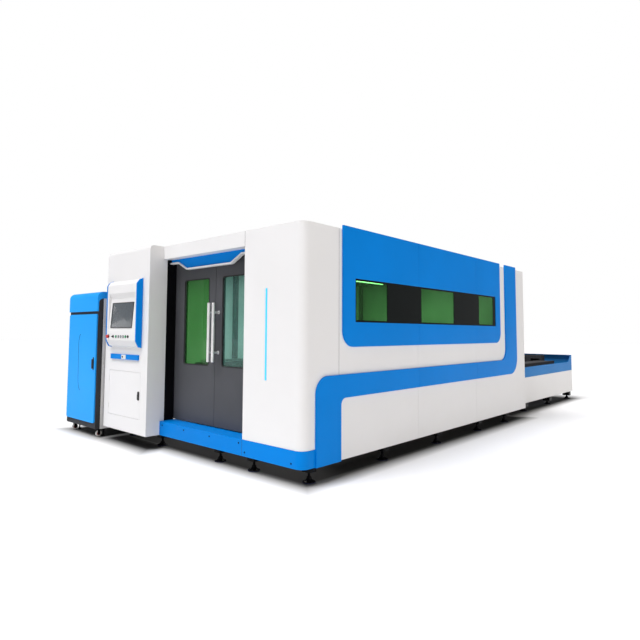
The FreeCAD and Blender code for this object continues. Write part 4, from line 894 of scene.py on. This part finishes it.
joint_x = low("front_column")[0]
header_foot, sill_foot = low("header_beam"), low("front_skirts")
column_low, column_high = low("front_column"), high("front_column")
header_tall = (high("header_beam")[2] - header_foot[2]) / MM
sill_tall = (high("front_skirts")[2] - sill_foot[2]) / MM
column_tall = (column_high[2] - column_low[2]) / MM
lines = [joint_line(front_plane(joint_x, header_foot[1], header_foot[2]), header_tall - 4),
         joint_line(front_plane(joint_x, sill_foot[1], sill_foot[2] + 0.003), sill_tall - 6),
         joint_line(side_plane(column_high[0], column_high[1] - 0.002, column_low[2] + 0.003),
                    column_tall - 6)]
piece("panel_joint_lines", lines, finishes["rim_grey_paint"], "machine", "rim_grey_paint")


# %% [markdown]
# ## Floor, light and camera
# The machine stands on a pale floor under soft light. Two distant lamps with wide angles
# give soft shadow edges: one high in front of the doors, and a warmer and weaker one along
# the window side. Two lamps inside the cabin show that there is a room behind the green
# panes. The floor's colour holds a painted shadow: dark beneath the machine, fading to white
# around it.

# %% Floor
def arithmetic(nodes, links, operation, first, second=None):
    """A Math node's result: first and second are sockets or numbers."""
    made = nodes.new("ShaderNodeMath")
    made.operation = operation
    for number, value in enumerate((first, second)):
        if isinstance(value, bpy.types.NodeSocket):
            links.new(value, made.inputs[number])
        elif value is not None:
            made.inputs[number].default_value = value
    return made.outputs[0]


def clear_of(nodes, links, place, first, last):
    """How far a floor point lies outside the rectangle from first to last, in metres."""
    split = nodes.new("ShaderNodeSeparateXYZ")
    links.new(place, split.inputs["Vector"])
    away = []
    for side, socket in enumerate(("X", "Y")):
        centre, half = (first[side] + last[side]) / 2, (last[side] - first[side]) / 2
        offset = arithmetic(nodes, links, "SUBTRACT", split.outputs[socket], centre)
        distance = arithmetic(nodes, links, "ABSOLUTE", offset)
        away.append(arithmetic(nodes, links, "SUBTRACT", distance, half))
    return arithmetic(nodes, links, "MAXIMUM", *away)


def floor_with_painted_shadow(footprints):
    """Matt floor with a painted shadow: dark within the footprints, white past them, by the nearest one's
    distance.
    """
    made, nodes, links, shader = new_finish("floor_with_painted_shadow")
    where = nodes.new("ShaderNodeNewGeometry").outputs["Position"]
    closest, *others = [clear_of(nodes, links, where, first, last) for first, last in footprints]
    for distance in others:
        closest = arithmetic(nodes, links, "MINIMUM", closest, distance)
    fade = nodes.new("ShaderNodeMapRange")
    fade.interpolation_type = "SMOOTHSTEP"
    fade.inputs["From Min"].default_value = FADE_FROM
    fade.inputs["From Max"].default_value = FADE_TO
    links.new(closest, fade.inputs["Value"])
    links.new(between(nodes, links, fade.outputs["Result"], PAINTED_SHADOW_COLOUR, OPEN_FLOOR),
              shader.inputs["Base Color"])
    shader.inputs["Roughness"].default_value = 0.6
    shader.inputs["Specular IOR Level"].default_value = 0.1
    return made


FLOOR_REACH = 60.0
FADE_FROM, FADE_TO = -0.40, 0.50
# Painted shadow: the floor's colour is dark within the footprints and fades to white past them.
PAINTED_SHADOW_COLOUR, OPEN_FLOOR = (0.045, 0.045, 0.047), (0.96, 0.96, 0.96)
standing = ("bed_frame", "table_frame", "cabinet_shell", "source_shell")
edges = np.linspace(-FLOOR_REACH, FLOOR_REACH, 3)
u, v = np.meshgrid(edges, edges)
points, faces = grid(np.stack([u, v, np.zeros_like(u)], axis=-1), around=False, ends=False)
floor_mesh = bpy.data.meshes.new("floor")
floor_mesh.from_pydata(points.tolist(), [], faces)
floor_mesh.materials.append(floor_with_painted_shadow([(low(node)[:2], high(node)[:2]) for node in standing]))
floor = bpy.data.objects.new("floor", floor_mesh)
bpy.context.collection.objects.link(floor)
print("floor", 2 * FLOOR_REACH, "m wide")


# %% Lamps
def soft_lamp(name, place, target, size, power, colour):
    """A square area lamp at a place, turned to its target."""
    light = bpy.data.lights.new(name, "AREA")
    light.size = size
    light.energy = power
    light.color = colour
    made = bpy.data.objects.new(name, light)
    made.location = place
    aim = Vector(target) - Vector(place)
    made.rotation_mode = "QUATERNION"
    made.rotation_quaternion = aim.to_track_quat("-Z", "Y")
    bpy.context.collection.objects.link(made)
    return made


def sun(name, towards, angle, strength, colour):
    """A distant lamp: light comes from a direction, and its angle softens the shadows."""
    light = bpy.data.lights.new(name, "SUN")
    light.angle = math.radians(angle)
    light.energy = strength
    light.color = colour
    made = bpy.data.objects.new(name, light)
    made.rotation_mode = "QUATERNION"
    made.rotation_quaternion = Vector(towards).to_track_quat("Z", "Y")
    bpy.context.collection.objects.link(made)
    return made


sun("front_light", (-0.10, -0.45, 0.89), 30, 3.0, (1.0, 0.99, 1.0))
sun("side_light", (0.92, 0.05, 0.30), 60, 0.82, (1.0, 0.92, 0.82))
for y in (1200, 3400):
    soft_lamp(f"cabin_lamp_{y}", here(-1500, y, 2080), here(-1500, y, 0), 1.2, 26,
              (1.0, 0.98, 0.94))

# %% [markdown]
# The sky is white where the camera sees it, and dimmer as a light, so that the shapes
# keep their shading. The Standard view transform keeps the blue paint saturated.

# %% Pale surroundings
world = bpy.data.worlds.new("studio")
world.use_nodes = True
sky, sky_links = world.node_tree.nodes, world.node_tree.links
SKY_SEEN, SKY_LIGHT = 1.0, 0.27
rays = sky.new("ShaderNodeLightPath")
amount = sky.new("ShaderNodeMapRange")
amount.inputs["To Min"].default_value = SKY_LIGHT
amount.inputs["To Max"].default_value = SKY_SEEN
sky_links.new(rays.outputs["Is Camera Ray"], amount.inputs["Value"])
sky_links.new(amount.outputs["Result"], sky["Background"].inputs["Strength"])
sky["Background"].inputs["Color"].default_value = (1.0, 1.0, 1.0, 1.0)
bpy.context.scene.world = world
bpy.context.scene.view_settings.view_transform = "Standard"
print("lamps placed")

# %% [markdown]
# The camera stands at eye height off the corner between the doors and the window side.
# It is turned left by yaw, tilted up by pitch and rolled about its own axis, in degrees.

# %% Camera
YAW, PITCH, ROLL = 42.546, 3.971, 0.337
camera_data = bpy.data.cameras.new("camera")
camera_data.sensor_width = 36.0
camera_data.lens = 29.104
camera_data.shift_x = 0.01833
camera_data.shift_y = -0.0376
camera_data.clip_end = 200.0
camera = bpy.data.objects.new("camera", camera_data)
camera.location = here(2907, -3106, 1263)
camera.rotation_mode = "QUATERNION"
turn_left = Quaternion((0, 0, 1), math.radians(YAW))
tilt_up = Quaternion((1, 0, 0), math.radians(90 + PITCH))
roll = Quaternion((0, 0, 1), math.radians(ROLL))
camera.rotation_quaternion = turn_left @ tilt_up @ roll
bpy.context.collection.objects.link(camera)
bpy.context.scene.camera = camera
print("camera at", [round(c, 3) for c in camera.location])
